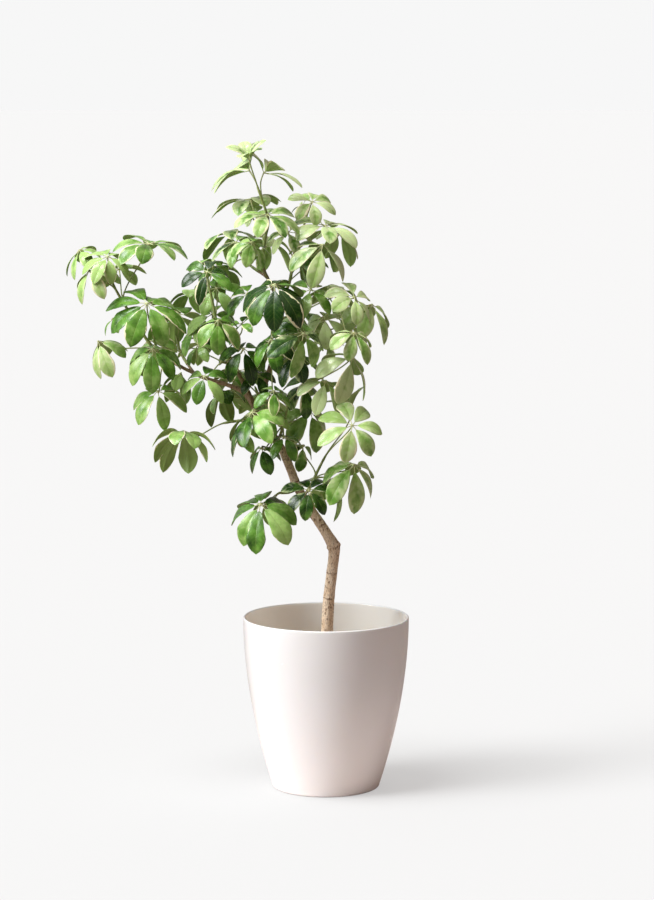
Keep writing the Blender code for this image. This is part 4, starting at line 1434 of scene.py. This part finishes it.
@dataclass
class Planter:
    """The turned planter: a thin wall that tapers in a soft curve to a rounded base."""

    rim_radius: float = 150.0
    base_radius: float = 96.0
    height: float = 312.0
    taper_power: float = 1.9
    wall: float = 4.0
    thicker_foot: float = 2.0
    floor: float = 8.0
    fillet: float = 6.0
    edge_round: float = 5.0
    turn_steps: int = 180
    wall_steps: int = 44
    fillet_steps: int = 4
    lip_steps: int = 12
    edge_steps: int = 8
    weld: float = 0.00001
    finish: Finish = field(default_factory=PlanterFinish)
    inside: Finish = field(default_factory=PlanterInsideFinish)

    def outer(self, z: float) -> float:
        """Returns the outer radius at a height."""
        share = min(max(z / self.height, 0.0), 1.0)
        swell = 1 - (1 - share) ** self.taper_power
        return self.base_radius + (self.rim_radius - self.base_radius) * swell

    def inner(self, z: float) -> float:
        """Returns the inner radius at a height."""
        return self.outer(z) - self.wall - self.thicker_foot * (1 - z / self.height)

    def profile(self) -> list[tuple[float, float]]:
        """Returns the section from the centre of the floor, over the lip, to the underside."""
        lip = self.wall / 2
        top = self.height - lip
        foot = self.floor + self.fillet
        side = self.inner(self.floor)
        edge = self.outer(self.edge_round) - self.edge_round
        points = [(0.0, self.floor), (side * 0.5, self.floor)]
        points += arc((side - self.fillet, foot), self.fillet, (-90, 0), self.fillet_steps)
        for k in range(1, self.wall_steps):
            z = foot + (top - foot) * k / self.wall_steps
            points.append((self.inner(z), z))
        points += arc((self.rim_radius - lip, top), lip, (180, 0), self.lip_steps)
        for k in range(1, self.wall_steps):
            z = top + (self.edge_round - top) * k / self.wall_steps
            points.append((self.outer(z), z))
        points += arc((edge, self.edge_round), self.edge_round, (0, -90), self.edge_steps)
        return points + [(edge * 0.5, 0.0), (0.0, 0.0)]

    def build(self) -> bpy.types.Object:
        """Turns the section round the upright axis."""
        points = self.profile()
        line = bpy.data.meshes.new("planter_section")
        line.from_pydata([(x * MM, 0.0, z * MM) for x, z in points],
                         [(i, i + 1) for i in range(len(points) - 1)], [])
        bench = GeometryBench("turned_shell", {
            "Turn steps": self.turn_steps, "Section points": len(points),
            "Inside points": 3 + self.fillet_steps + self.wall_steps})
        across = bench.math("ADD", bench.size("Turn steps"), 1.0)
        grid = bench.node("GeometryNodeMeshGrid", {
            "Vertices X": bench.size("Section points"), "Vertices Y": across})
        index = bench.node("GeometryNodeInputIndex").outputs[0]
        row = bench.math("FLOOR", bench.math("DIVIDE", index, across))
        turn = bench.math("DIVIDE", bench.math("MODULO", index, across),
                          bench.size("Turn steps"))
        turn = bench.times(turn, 2 * math.pi)
        x, _, z = bench.split(bench.pick(bench.size("Geometry"), bench.position(), row,
                                         "FLOAT_VECTOR"))
        place = bench.joined(bench.times(x, bench.math("COSINE", turn)),
                             bench.times(x, bench.math("SINE", turn)), z)
        shell = bench.move(bench.keep(grid.outputs[0], "row", row), Position=place)
        shell = bench.dressed(shell, self.finish)
        within = bench.math("LESS_THAN", bench.named("row"), bench.size("Inside points"))
        shell = bench.through("GeometryNodeSetMaterial", shell,
                              {"Selection": within, "Material": self.inside.material()})
        bench.end(bench.through("GeometryNodeMergeByDistance", shell, {"Distance": self.weld}))
        piece = bench.run("planter_shell", line)
        face_out(piece)
        return piece


def face_out(piece: bpy.types.Object) -> None:
    """Turns a closed piece's faces outwards."""
    shape = bmesh.new()
    shape.from_mesh(piece.data)
    bmesh.ops.recalc_face_normals(shape, faces=shape.faces)
    if shape.calc_volume(signed=True) < 0:
        bmesh.ops.reverse_faces(shape, faces=shape.faces)
    shape.to_mesh(piece.data)
    shape.free()


@dataclass
class PottingSoil:
    """The soil: a low mound of potting mix strewn with crumbs."""

    level: float = 240.0
    mound: float = 7.0
    mound_power: float = 1.5
    rough: float = 0.7
    bottom: float = 8.3
    corner: float = 6.5
    gap: float = 0.8
    rings: int = 60
    depths: int = 4
    steps: int = 180
    seed: int = 5
    crumb: float = 2.0
    crumb_seed: int = 11
    size_seed: int = 3
    crumb_turns: Tuple3 = (6.283, 6.283, 6.283)
    smallest: Tuple3 = (0.35, 0.3, 0.25)
    largest: Tuple3 = (1.3, 1.0, 0.7)
    per_square_metre: float = 52000.0
    finish: Finish = field(default_factory=SoilFinish)

    def _round(self, radius: float, heights: Iterable[float]) -> list[Tuple3]:
        """Returns a ring of points with the given heights."""
        points = []
        for k, z in enumerate(heights):
            turn = 2 * math.pi * k / self.steps
            points.append((radius * math.cos(turn), radius * math.sin(turn), z))
        return points

    def build(self, planter: Planter) -> bpy.types.Object:
        """Makes the filling of a planter and strews its top with crumbs.

        Args:
            planter: The planter that holds it.

        Returns:
            The soil piece.
        """
        edge = planter.inner(self.level) - self.gap
        verts = [(0.0, 0.0, self.level + self.mound)]
        rng = random.Random(self.seed)
        for number in range(1, self.rings):
            share = number / self.rings
            top = self.mound * (1 - share) ** self.mound_power
            heights = [self.level + (top + rng.uniform(-self.rough, self.rough))
                       for _ in range(self.steps)]
            verts += self._round(edge * share, heights)
        for depth in range(self.depths + 1):
            z = self.level + (self.bottom + self.corner - self.level) * depth / self.depths
            verts += self._round(planter.inner(z) - self.gap, [z] * self.steps)
        last = len(verts) - self.steps
        verts.append((0.0, 0.0, self.bottom))
        around = [(k, (k + 1) % self.steps) for k in range(self.steps)]
        faces = [(0, 1 + a, 1 + b) for a, b in around]
        for start in range(1, last, self.steps):
            faces += [(start + a, start + a + self.steps, start + b + self.steps, start + b)
                      for a, b in around]
        faces += [(last + a, len(verts) - 1, last + b) for a, b in around]
        filling = bpy.data.meshes.new("filling")
        filling.from_pydata([Vector(v) * MM for v in verts], [], faces)
        return self._strew(filling)

    def _strew(self, filling: bpy.types.Mesh) -> bpy.types.Object:
        """Strews crumbs over the top of the filling."""
        bench = GeometryBench("strewn_crumbs", {
            "Crumbs per square metre": self.per_square_metre, "Crumb size": self.crumb * MM,
            "Seed": self.crumb_seed})
        given = bench.size("Geometry")
        top = bench.math("GREATER_THAN", bench.split(bench.normal())[2], 0.5)
        scattered = bench.node("GeometryNodeDistributePointsOnFaces", {
            "Mesh": given, "Selection": top, "Seed": bench.size("Seed"),
            "Density": bench.size("Crumbs per square metre")})
        crumb = bench.node("GeometryNodeMeshIcoSphere", {
            "Radius": bench.size("Crumb size"), "Subdivisions": 1})
        turned = bench.node("FunctionNodeRandomValue", data_type="FLOAT_VECTOR")
        turned.inputs["Max"].default_value = self.crumb_turns
        sized = bench.node("FunctionNodeRandomValue", {
            "Min": self.smallest, "Max": self.largest, "Seed": self.size_seed}, data_type="FLOAT_VECTOR")
        each = bench.node("GeometryNodeInstanceOnPoints", {
            "Points": scattered.outputs["Points"], "Instance": crumb.outputs[0],
            "Rotation": turned.outputs["Value"], "Scale": sized.outputs["Value"]})
        bench.end(bench.dressed(given, self.finish), bench.dressed(each.outputs[0], self.finish))
        return bench.run("soil_filling", filling)


def marks_along(line: Sequence[Any], length: float = 1.0) -> list[float]:
    """Returns how far along each of a line's points is, if the whole line has a length."""
    last = len(line) - 1
    return [length * i / last for i in range(last + 1)]


@dataclass
class Trunk:
    """The woody trunk with its limbs, grown together and covered with bark."""

    layout: Layout
    voxel: float = 1.15
    sides: int = 20
    step: float = 5.0
    ring_spacing: float = 46.0
    scar_rise: float = 0.45
    scar_width: float = 2.2
    limb_share: float = 0.6
    limb_shift: float = 17.0
    limb_run: float = 0.37
    knob_step: float = 3.0
    knob_more: float = 1.2
    knob_round: float = 4.0
    limb_tint: float = 0.9
    top_tint: float = 1.6
    top_tint_from: float = 0.7
    relief: float = 1.3
    softening: int = 5
    value_softening: int = 4
    finish: Finish = field(default_factory=BarkFinish)

    def paths(self) -> PathMesh:
        """Returns the centre lines of the trunk, its knob and the woody stretches."""
        paths = PathMesh()
        main = smooth_line(TRUNK, self.step)
        paths.add(main, [trunk_radius(t) + self._scar(i * self.step)
                         for i, t in enumerate(marks_along(main))],
                  run=[i * self.step / self.ring_spacing for i in range(len(main))],
                  young=0.0, tint=[max(0.0, t - self.top_tint_from) * self.top_tint
                                  for t in marks_along(main)])
        knob = smooth_line(KNOB, self.knob_step)
        paths.add(knob, [KNOB_RADIUS + self.knob_more - self.knob_round * t ** 5
                         for t in marks_along(knob)], run=0.5, young=0.0, tint=0.0)
        for index, stem in enumerate(self.layout.stems.values()):
            line = even(part_of(stem.line, 0.0, stem.plan.woody), self.step)
            marks = marks_along(line, line_length(line))
            thick = [stem.radius(at) + self.limb_share * self._scar(at + self.limb_shift * index)
                     for at in marks]
            young = [min(1.0, 0.15 + 2.4 / wide * t ** 2)
                     for wide, t in zip(thick, marks_along(line))]
            paths.add(line, thick, young=young, tint=self.limb_tint,
                      run=[self.limb_run * index + at / (self.limb_share * self.ring_spacing)
                           for at in marks])
        return paths

    def _scar(self, at: float) -> float:
        """Returns the swelling of a leaf scar's ring at a distance along a stem."""
        away = (at / self.ring_spacing + 0.5) % 1.0 - 0.5
        return self.scar_rise * math.exp(-(away * self.ring_spacing / self.scar_width) ** 2)

    def build(self) -> bpy.types.Object:
        """Grows the stems together into one skin and gives it relief."""
        lines = self.paths().mesh("wood_lines")
        tubes = self._tubes(lines)
        skin = tubes.modifiers.new("skin", "REMESH")
        skin.mode = "VOXEL"
        skin.voxel_size = self.voxel * MM
        grown = evaluated_mesh(tubes)
        bpy.data.objects.remove(tubes)
        return self._barked(lines, grown)

    def _tubes(self, lines: bpy.types.Mesh) -> bpy.types.Object:
        """Sweeps a ring along the lines."""
        bench = GeometryBench("wood_tubes", {"Sides": self.sides})
        paths = bench.through("GeometryNodeMeshToCurve", bench.size("Geometry"))
        bench.end(bench.dressed(bench.sweep(paths, bench.circle("Sides")), self.finish))
        return bench.run("wood_tubes", lines)

    def _barked(self, lines: bpy.types.Mesh, grown: bpy.types.Mesh) -> bpy.types.Object:
        """Softens the forks, wrinkles the bark and carries the lines' values to it."""
        source = put("wood_lines", lines)
        bench = GeometryBench("bark_relief", {"Lines": source, "Relief": self.relief * MM})
        wood = bench.node("GeometryNodeObjectInfo", {"Object": bench.size("Lines")},
                          transform_space="ORIGINAL").outputs["Geometry"]
        near = bench.node("GeometryNodeSampleNearest", {"Geometry": wood},
                          domain="POINT").outputs[0]
        position = bench.position()
        bark = bench.move(bench.size("Geometry"),
                          Position=bench.blur(position, self.softening, "FLOAT_VECTOR"))
        for what in (Carried.RUN, Carried.YOUNG, Carried.TINT):
            value = bench.pick(wood, bench.named(what.value), near)
            bark = bench.keep(bark, what.value, bench.blur(value, self.value_softening))
        long = bench.vector("MULTIPLY", position, (1.0, 1.0, 0.3))
        wrinkle = bench.math("SUBTRACT", bench.noise(long, 150.0, 2.0), 0.5)
        shift = bench.vector("SCALE", bench.normal(),
                             bench.times(wrinkle, bench.size("Relief")))
        bench.end(bench.dressed(bench.move(bark, Offset=shift), self.finish))
        piece = bench.run("trunk_bark", grown)
        bpy.data.objects.remove(source)
        return piece


@dataclass
class LeafyShoot:
    """One shoot: its green stem, petioles, leaflet stalks and arched leaflets."""

    stem: Stem
    poses: list[Pose]
    step: float = 5.0
    seat: float = 1.5
    knee_rise: float = 0.35
    knee_spacing: float = 17.0
    tip: float = 0.9
    petiole_steps: int = 14
    petiole_radius: float = 1.25
    petiole_top: float = 1.5
    stalk_radii: tuple[float, ...] = (1.1, 0.8, 0.7, 0.7)
    blade_steps: int = 14
    section_points: int = 20
    stalk_sides: int = 10
    fold: float = 0.22
    curl: float = 0.16
    thickness: float = 0.045
    keel: float = 0.10
    wave: float = 0.9
    overlap: float = 1.35
    slender: tuple[float, float] = (0.92, 1.16)
    tilt: float = 13.0
    arch: float = 0.05
    young_height: float = 1080.0
    young_growth: float = 1.4
    young_pale: float = 0.9
    least_pale: float = 0.12
    leaf_pale: tuple[float, float] = (0.5, 1.15)
    leaflet_pale: tuple[float, float] = (0.7, 1.1)
    # Painted sunlight: leaves on the right are paler, and less so below the low height.
    right_pale_from: float = -70.0
    right_fade: float = 70.0
    low_height: float = 700.0
    low_pale: float = 0.55
    top_pale_from: float = 930.0
    top_fade: float = 100.0
    top_pale: float = 0.95
    far_left: float = -340.0
    far_left_pale: float = 0.5
    # Painted light: leaflets on the left and the right of the crown get a lighter green.
    left_end: float = -230.0
    left_tint: tuple[float, float] = (0.34, 0.66)
    right_end: float = -30.0
    right_tint: tuple[float, float] = (0.42, 0.58)
    leaf: Finish = field(default_factory=LeafFinish)
    stalk: Finish = field(default_factory=StalkFinish)

    def paths(self) -> PathMesh:
        """Returns the lines of all leaflets, stalks and the stem."""
        paths = PathMesh()
        self._add_stem(paths)
        for pose in self.poses:
            self._add_petiole(paths, pose)
            for index in range(pose.plan.count):
                self._add_leaflet(paths, pose, index)
        return paths

    def _add_stem(self, paths: PathMesh) -> None:
        """Adds the green stem, from just inside the wood to a pointed tip."""
        start = self.stem.plan.woody - self.seat
        line = even(part_of(self.stem.line, start, self.stem.length), self.step)
        thick = []
        for run in marks_along(line, self.stem.length - start):
            at = start + run
            away = (at / self.knee_spacing) % 1.0 - 0.5
            knee = self.knee_rise * math.exp(-(away / 0.12) ** 2)
            thick.append(self.stem.radius(at) + knee)
        thick[-1] = self.tip
        paths.add(line, thick, blade=0.0, pale=0.0)

    def _add_petiole(self, paths: PathMesh, pose: Pose) -> None:
        """Adds a petiole: flared where it clasps the stem and swollen under the leaflets."""
        line = smooth_line(pose.petiole(self.petiole_steps), self.step)
        line.append(pose.hub + pose.up * 0.6)
        shares = marks_along(line)
        thick = [self.petiole_radius + 1.0 * math.exp(-(t / 0.07) ** 2)
                 + 0.75 * math.exp(-((1 - t) / 0.06) ** 2) for t in shares]
        thick[-1] = self.petiole_top
        paths.add(line, thick, blade=0.0, pale=[self.least_pale + 0.5 * t ** 3 for t in shares])

    def _add_leaflet(self, paths: PathMesh, pose: Pose, index: int) -> None:
        """Adds a leaflet's stalk and its blade."""
        rib = pose.ribs[index]
        own = random.Random(pose.seed * 31 + index)
        foot = rib[0].point
        stalk = [pose.hub.lerp(foot, t) for t in marks_along(self.stalk_radii)]
        paths.add(stalk, self.stalk_radii, blade=0.0, pale=0.5)
        marks = [0.0]
        for before, after in zip(rib, rib[1:]):
            marks.append(marks[-1] + (after.point - before.point).length)
        knots = [foot.lerp(pose.hub, 0.15)] + [station.point for station in rib[1:]]
        line = smooth_line(knots, marks[-1] / self.blade_steps)
        slender = own.uniform(*self.slender)
        tilt = math.radians(self.tilt * own.uniform(-1, 1))
        growth = self.young_growth if pose.hub.z > self.young_height else 1.0
        pale = self._pale(pose)
        alongs = marks_along(line)
        halves = []
        faces = []
        for i, along in enumerate(alongs):
            at = along * marks[-1]
            k = max(j for j in range(len(marks) - 1) if marks[j] <= at + 1e-6)
            blend = min((at - marks[k]) / (marks[k + 1] - marks[k]), 1.0)
            face = rib[k].face.lerp(rib[k + 1].face, blend).normalized()
            side = rib[k].side.lerp(rib[k + 1].side, blend).normalized()
            faces.append(face * math.cos(tilt) + side * math.sin(tilt))
            bow = self.arch * (math.sin(math.pi * along) - along ** 2) * pose.plan.reach
            line[i] = foot + (line[i] + face * bow - foot) * growth
            room = pose.room(index, k) * (1 - blend) + pose.room(index, k + 1) * blend
            wanted = (self._outline(along, pale) * slender * Pose.BLADE_WIDTH / 2
                      * pose.plan.reach)
            halves.append(max(min(wanted, room * self.overlap), 0.3) * growth)
        paths.add(line, halves, faces, blade=1.0, along=alongs, tint=self._tint(pose, own),
                  pale=pale * own.uniform(*self.leaflet_pale))

    def _tint(self, pose: Pose, own: random.Random) -> float:
        """Returns a leaflet's shade of green: random, and lighter on both sides of the crown as painted
        light.
        """
        tint = 0.5 * own.random() + 0.5 * random.Random(pose.seed * 7 + 3).random()
        # Painted light: a lighter tint on the crown's left and right sides.
        if pose.hub.x < self.left_end:
            tint = self.left_tint[0] + self.left_tint[1] * tint
        if pose.hub.x > self.right_end:
            tint = self.right_tint[0] + self.right_tint[1] * tint
        return tint

    def _pale(self, pose: Pose) -> float:
        """Returns how pale a leaf is: paler on the right as painted sunlight, less so low down, and
        paler at the top and far left.
        """
        right = min(max((pose.hub.x - self.right_pale_from) / self.right_fade, 0.0), 1.0)
        right *= self.low_pale if pose.hub.z < self.low_height else 1.0
        top = min(max((pose.hub.z - self.top_pale_from) / self.top_fade, 0.0), 1.0)
        top *= self.top_pale
        left = self.far_left_pale if pose.hub.x < self.far_left else 0.0
        chance = random.Random(pose.seed * 13 + 5).uniform(*self.leaf_pale)
        if pose.hub.z > self.young_height:
            chance = self.young_pale
        return max(right, top, left, self.least_pale) * chance

    @staticmethod
    def _outline(along: float, pale: float) -> float:
        """Returns a blade's half width: a wedge at its base, blunter on a pale leaf."""
        if along >= 1.0:
            return 0.0
        return math.sin(math.pi * along ** (1.1 + 0.3 * pale)) ** 0.65

    def build(self) -> bpy.types.Object:
        """Sweeps every line into its blade or stalk."""
        bench = GeometryBench("leafy_shoot_" + self.stem.name, {
            "Section points": self.section_points, "Stalk sides": self.stalk_sides,
            "Fold": self.fold, "Curl": self.curl, "Thickness": self.thickness,
            "Keel": self.keel, "Wave": self.wave * MM})
        parts = bench.node("GeometryNodeSeparateGeometry", {
            "Geometry": bench.size("Geometry"),
            "Selection": bench.math("GREATER_THAN", bench.named("blade"), 0.5)},
            domain="POINT").outputs
        ahead = bench.node("GeometryNodeInputTangent").outputs[0]
        face = bench.named("face", "FLOAT_VECTOR")
        blades = bench.through("GeometryNodeMeshToCurve", parts["Selection"])
        blades = bench.through("GeometryNodeSetCurveNormal", blades,
                               {"Normal": bench.vector("CROSS_PRODUCT", face, ahead)},
                               mode="FREE")
        blades = self._waved(bench, bench.sweep(blades, self._section(bench)))
        stalks = bench.through("GeometryNodeMeshToCurve", parts["Inverted"])
        stalks = bench.sweep(stalks, bench.circle("Stalk sides"))
        bench.end(bench.dressed(blades, self.leaf), bench.dressed(stalks, self.stalk))
        name = f"shoot_{self.stem.name}_leaves"
        return bench.run(name, self.paths().mesh(name + "_lines"))

    @staticmethod
    def _section(bench: GeometryBench) -> Socket:
        """Returns a blade's section: folded at the midrib, curled at the edge, keeled below."""
        x, y, _ = bench.split(bench.position())
        wide = bench.math("POWER", bench.math("ABSOLUTE", x), 1.5)
        across = bench.times(wide, bench.math("SIGN", x))
        below = bench.math("LESS_THAN", y, -0.001)
        lamina = bench.math("SUBTRACT", bench.times(wide, bench.size("Fold")),
                            bench.times(bench.math("POWER", wide, 2.0), bench.size("Curl")))
        lamina = bench.times(y, bench.size("Thickness"), lamina)
        centre = bench.step(wide, 0.0, 0.15, 1.0, 0.0)
        keel = bench.times(bench.times(centre, below), bench.size("Keel"))
        kept = bench.keep(bench.circle("Section points"), Carried.ACROSS.value, across)
        kept = bench.keep(kept, Carried.UNDER.value, below)
        return bench.move(kept, Position=bench.joined(
            across, bench.math("SUBTRACT", lamina, keel)))

    @staticmethod
    def _waved(bench: GeometryBench, blades: Any) -> Socket:
        """Waves the blades' edges a little."""
        swing = bench.math("SUBTRACT", bench.noise(bench.position(), 70.0, 1.0), 0.5)
        edge = bench.math("ABSOLUTE", bench.named(Carried.ACROSS.value))
        amount = bench.times(bench.times(swing, edge), bench.size("Wave"))
        shift = bench.vector("SCALE", bench.named("face", "FLOAT_VECTOR"),
                             bench.times(amount, 2.0))
        return bench.move(blades, Offset=shift)


@dataclass
class Studio:
    """A plain pale floor, soft light from the left and the camera."""

    floor_side: float = 300.0
    backdrop: Colour = rgb(247, 247, 247)
    dome_base: float = 0.03
    dome_left: float = 0.22
    dome_back: float = 0.28
    dome_top: float = 0.62
    cool: Colour = (1.0, 1.0, 1.0, 1.0)
    warm: Colour = (1.0, 0.80, 0.71, 1.0)
    key_turn: float = 22.0
    key_spread: float = 25.0
    key_colour: Tuple3 = (0.98, 1.0, 1.015)
    keys: tuple[tuple[float, float], ...] = ((12.0, 0.85), (31.0, 2.05), (70.0, 2.45))
    camera_place: Tuple3 = (0.0018, -5.350, 1.2915)
    camera_pitch: float = 7.2
    focal_length: float = 120.0
    sensor_height: float = 36.0
    clip_end: float = 100.0
    finish: Finish = field(default_factory=FloorFinish)

    def build(self) -> None:
        """Sets the floor, the lights, the camera and the view."""
        self._floor()
        self._dome()
        self._key()
        self._camera()
        view = bpy.context.scene.view_settings
        view.view_transform = "Standard"
        view.look = "None"

    def _floor(self) -> None:
        """Lays the floor."""
        half = self.floor_side / 2
        mesh = bpy.data.meshes.new("studio_floor")
        mesh.from_pydata([(-half, -half, 0), (half, -half, 0), (half, half, 0),
                          (-half, half, 0)], [], [(0, 1, 2, 3)])
        mesh.materials.append(self.finish.material())
        floor = put("studio_floor", mesh)

    def _dome(self) -> None:
        """Sets a dome of light: bright behind, dim in front and dim and warm on the right."""
        world = bpy.data.worlds.new("studio_dome")
        world.use_nodes = True
        bpy.context.scene.world = world
        nodes = world.node_tree.nodes
        bench = Bench(world.node_tree)
        x, y, z = bench.split(bench.node("ShaderNodeTexCoord").outputs["Generated"])
        left = bench.step(x, -1.0, 0.6, self.dome_left, 0.0)
        back = bench.step(y, 0.1, 1.0, 0.0, self.dome_back)
        top = bench.step(z, 0.2, 1.0, 0.0, self.dome_top)
        glow = bench.math("ADD", bench.math("ADD", left, back),
                          bench.math("ADD", top, self.dome_base))
        colour = bench.mix(bench.step(x, -0.6, 0.8), self.cool, self.warm)
        light = bench.node("ShaderNodeBackground", {"Strength": glow, "Color": colour})
        nodes["Background"].inputs["Color"].default_value = self.backdrop
        both = bench.seen_apart(nodes["Background"].outputs[0], light.outputs[0])
        bench.feed(nodes["World Output"].inputs["Surface"], both)

    def _key(self) -> None:
        """Hangs three soft suns above one another, as one tall window on the left."""
        turn = math.radians(self.key_turn)
        for height, strength in self.keys:
            rise = math.radians(height)
            away = Vector((-math.cos(turn) * math.cos(rise),
                           -math.sin(turn) * math.cos(rise), math.sin(rise)))
            lamp = bpy.data.lights.new("key", "SUN")
            lamp.energy = strength
            lamp.angle = math.radians(self.key_spread)
            lamp.color = self.key_colour
            put("key", lamp).rotation_euler = (-away).to_track_quat("-Z", "Y").to_euler()

    def _camera(self) -> None:
        """Places the camera."""
        lens = bpy.data.cameras.new("camera")
        lens.lens = self.focal_length
        lens.sensor_fit = "VERTICAL"
        lens.sensor_height = self.sensor_height
        lens.clip_end = self.clip_end
        camera = put("camera", lens)
        camera.location = self.camera_place
        camera.rotation_euler = (math.radians(90 - self.camera_pitch), 0.0, 0.0)
        bpy.context.scene.camera = camera


def main() -> None:
    """Builds the studio and every piece, in order."""
    logging.basicConfig(level=logging.INFO, format="%(name)s: %(message)s")
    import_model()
    Studio().build()
    planter = Planter()
    replace_node(planter.build(), "planter")
    replace_node(PottingSoil().build(planter), "potting_soil")
    layout = Layout()
    LOG.info("settled %d of %d leaves", len(layout.poses), len(LEAVES))
    replace_node(Trunk(layout).build(), "trunk")
    for name, stem in layout.stems.items():
        poses = [pose for pose in layout.poses if pose.plan.shoot == name]
        replace_node(LeafyShoot(stem, poses).build(), "shoot_" + name)
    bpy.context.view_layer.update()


if __name__ == "__main__":
    main()
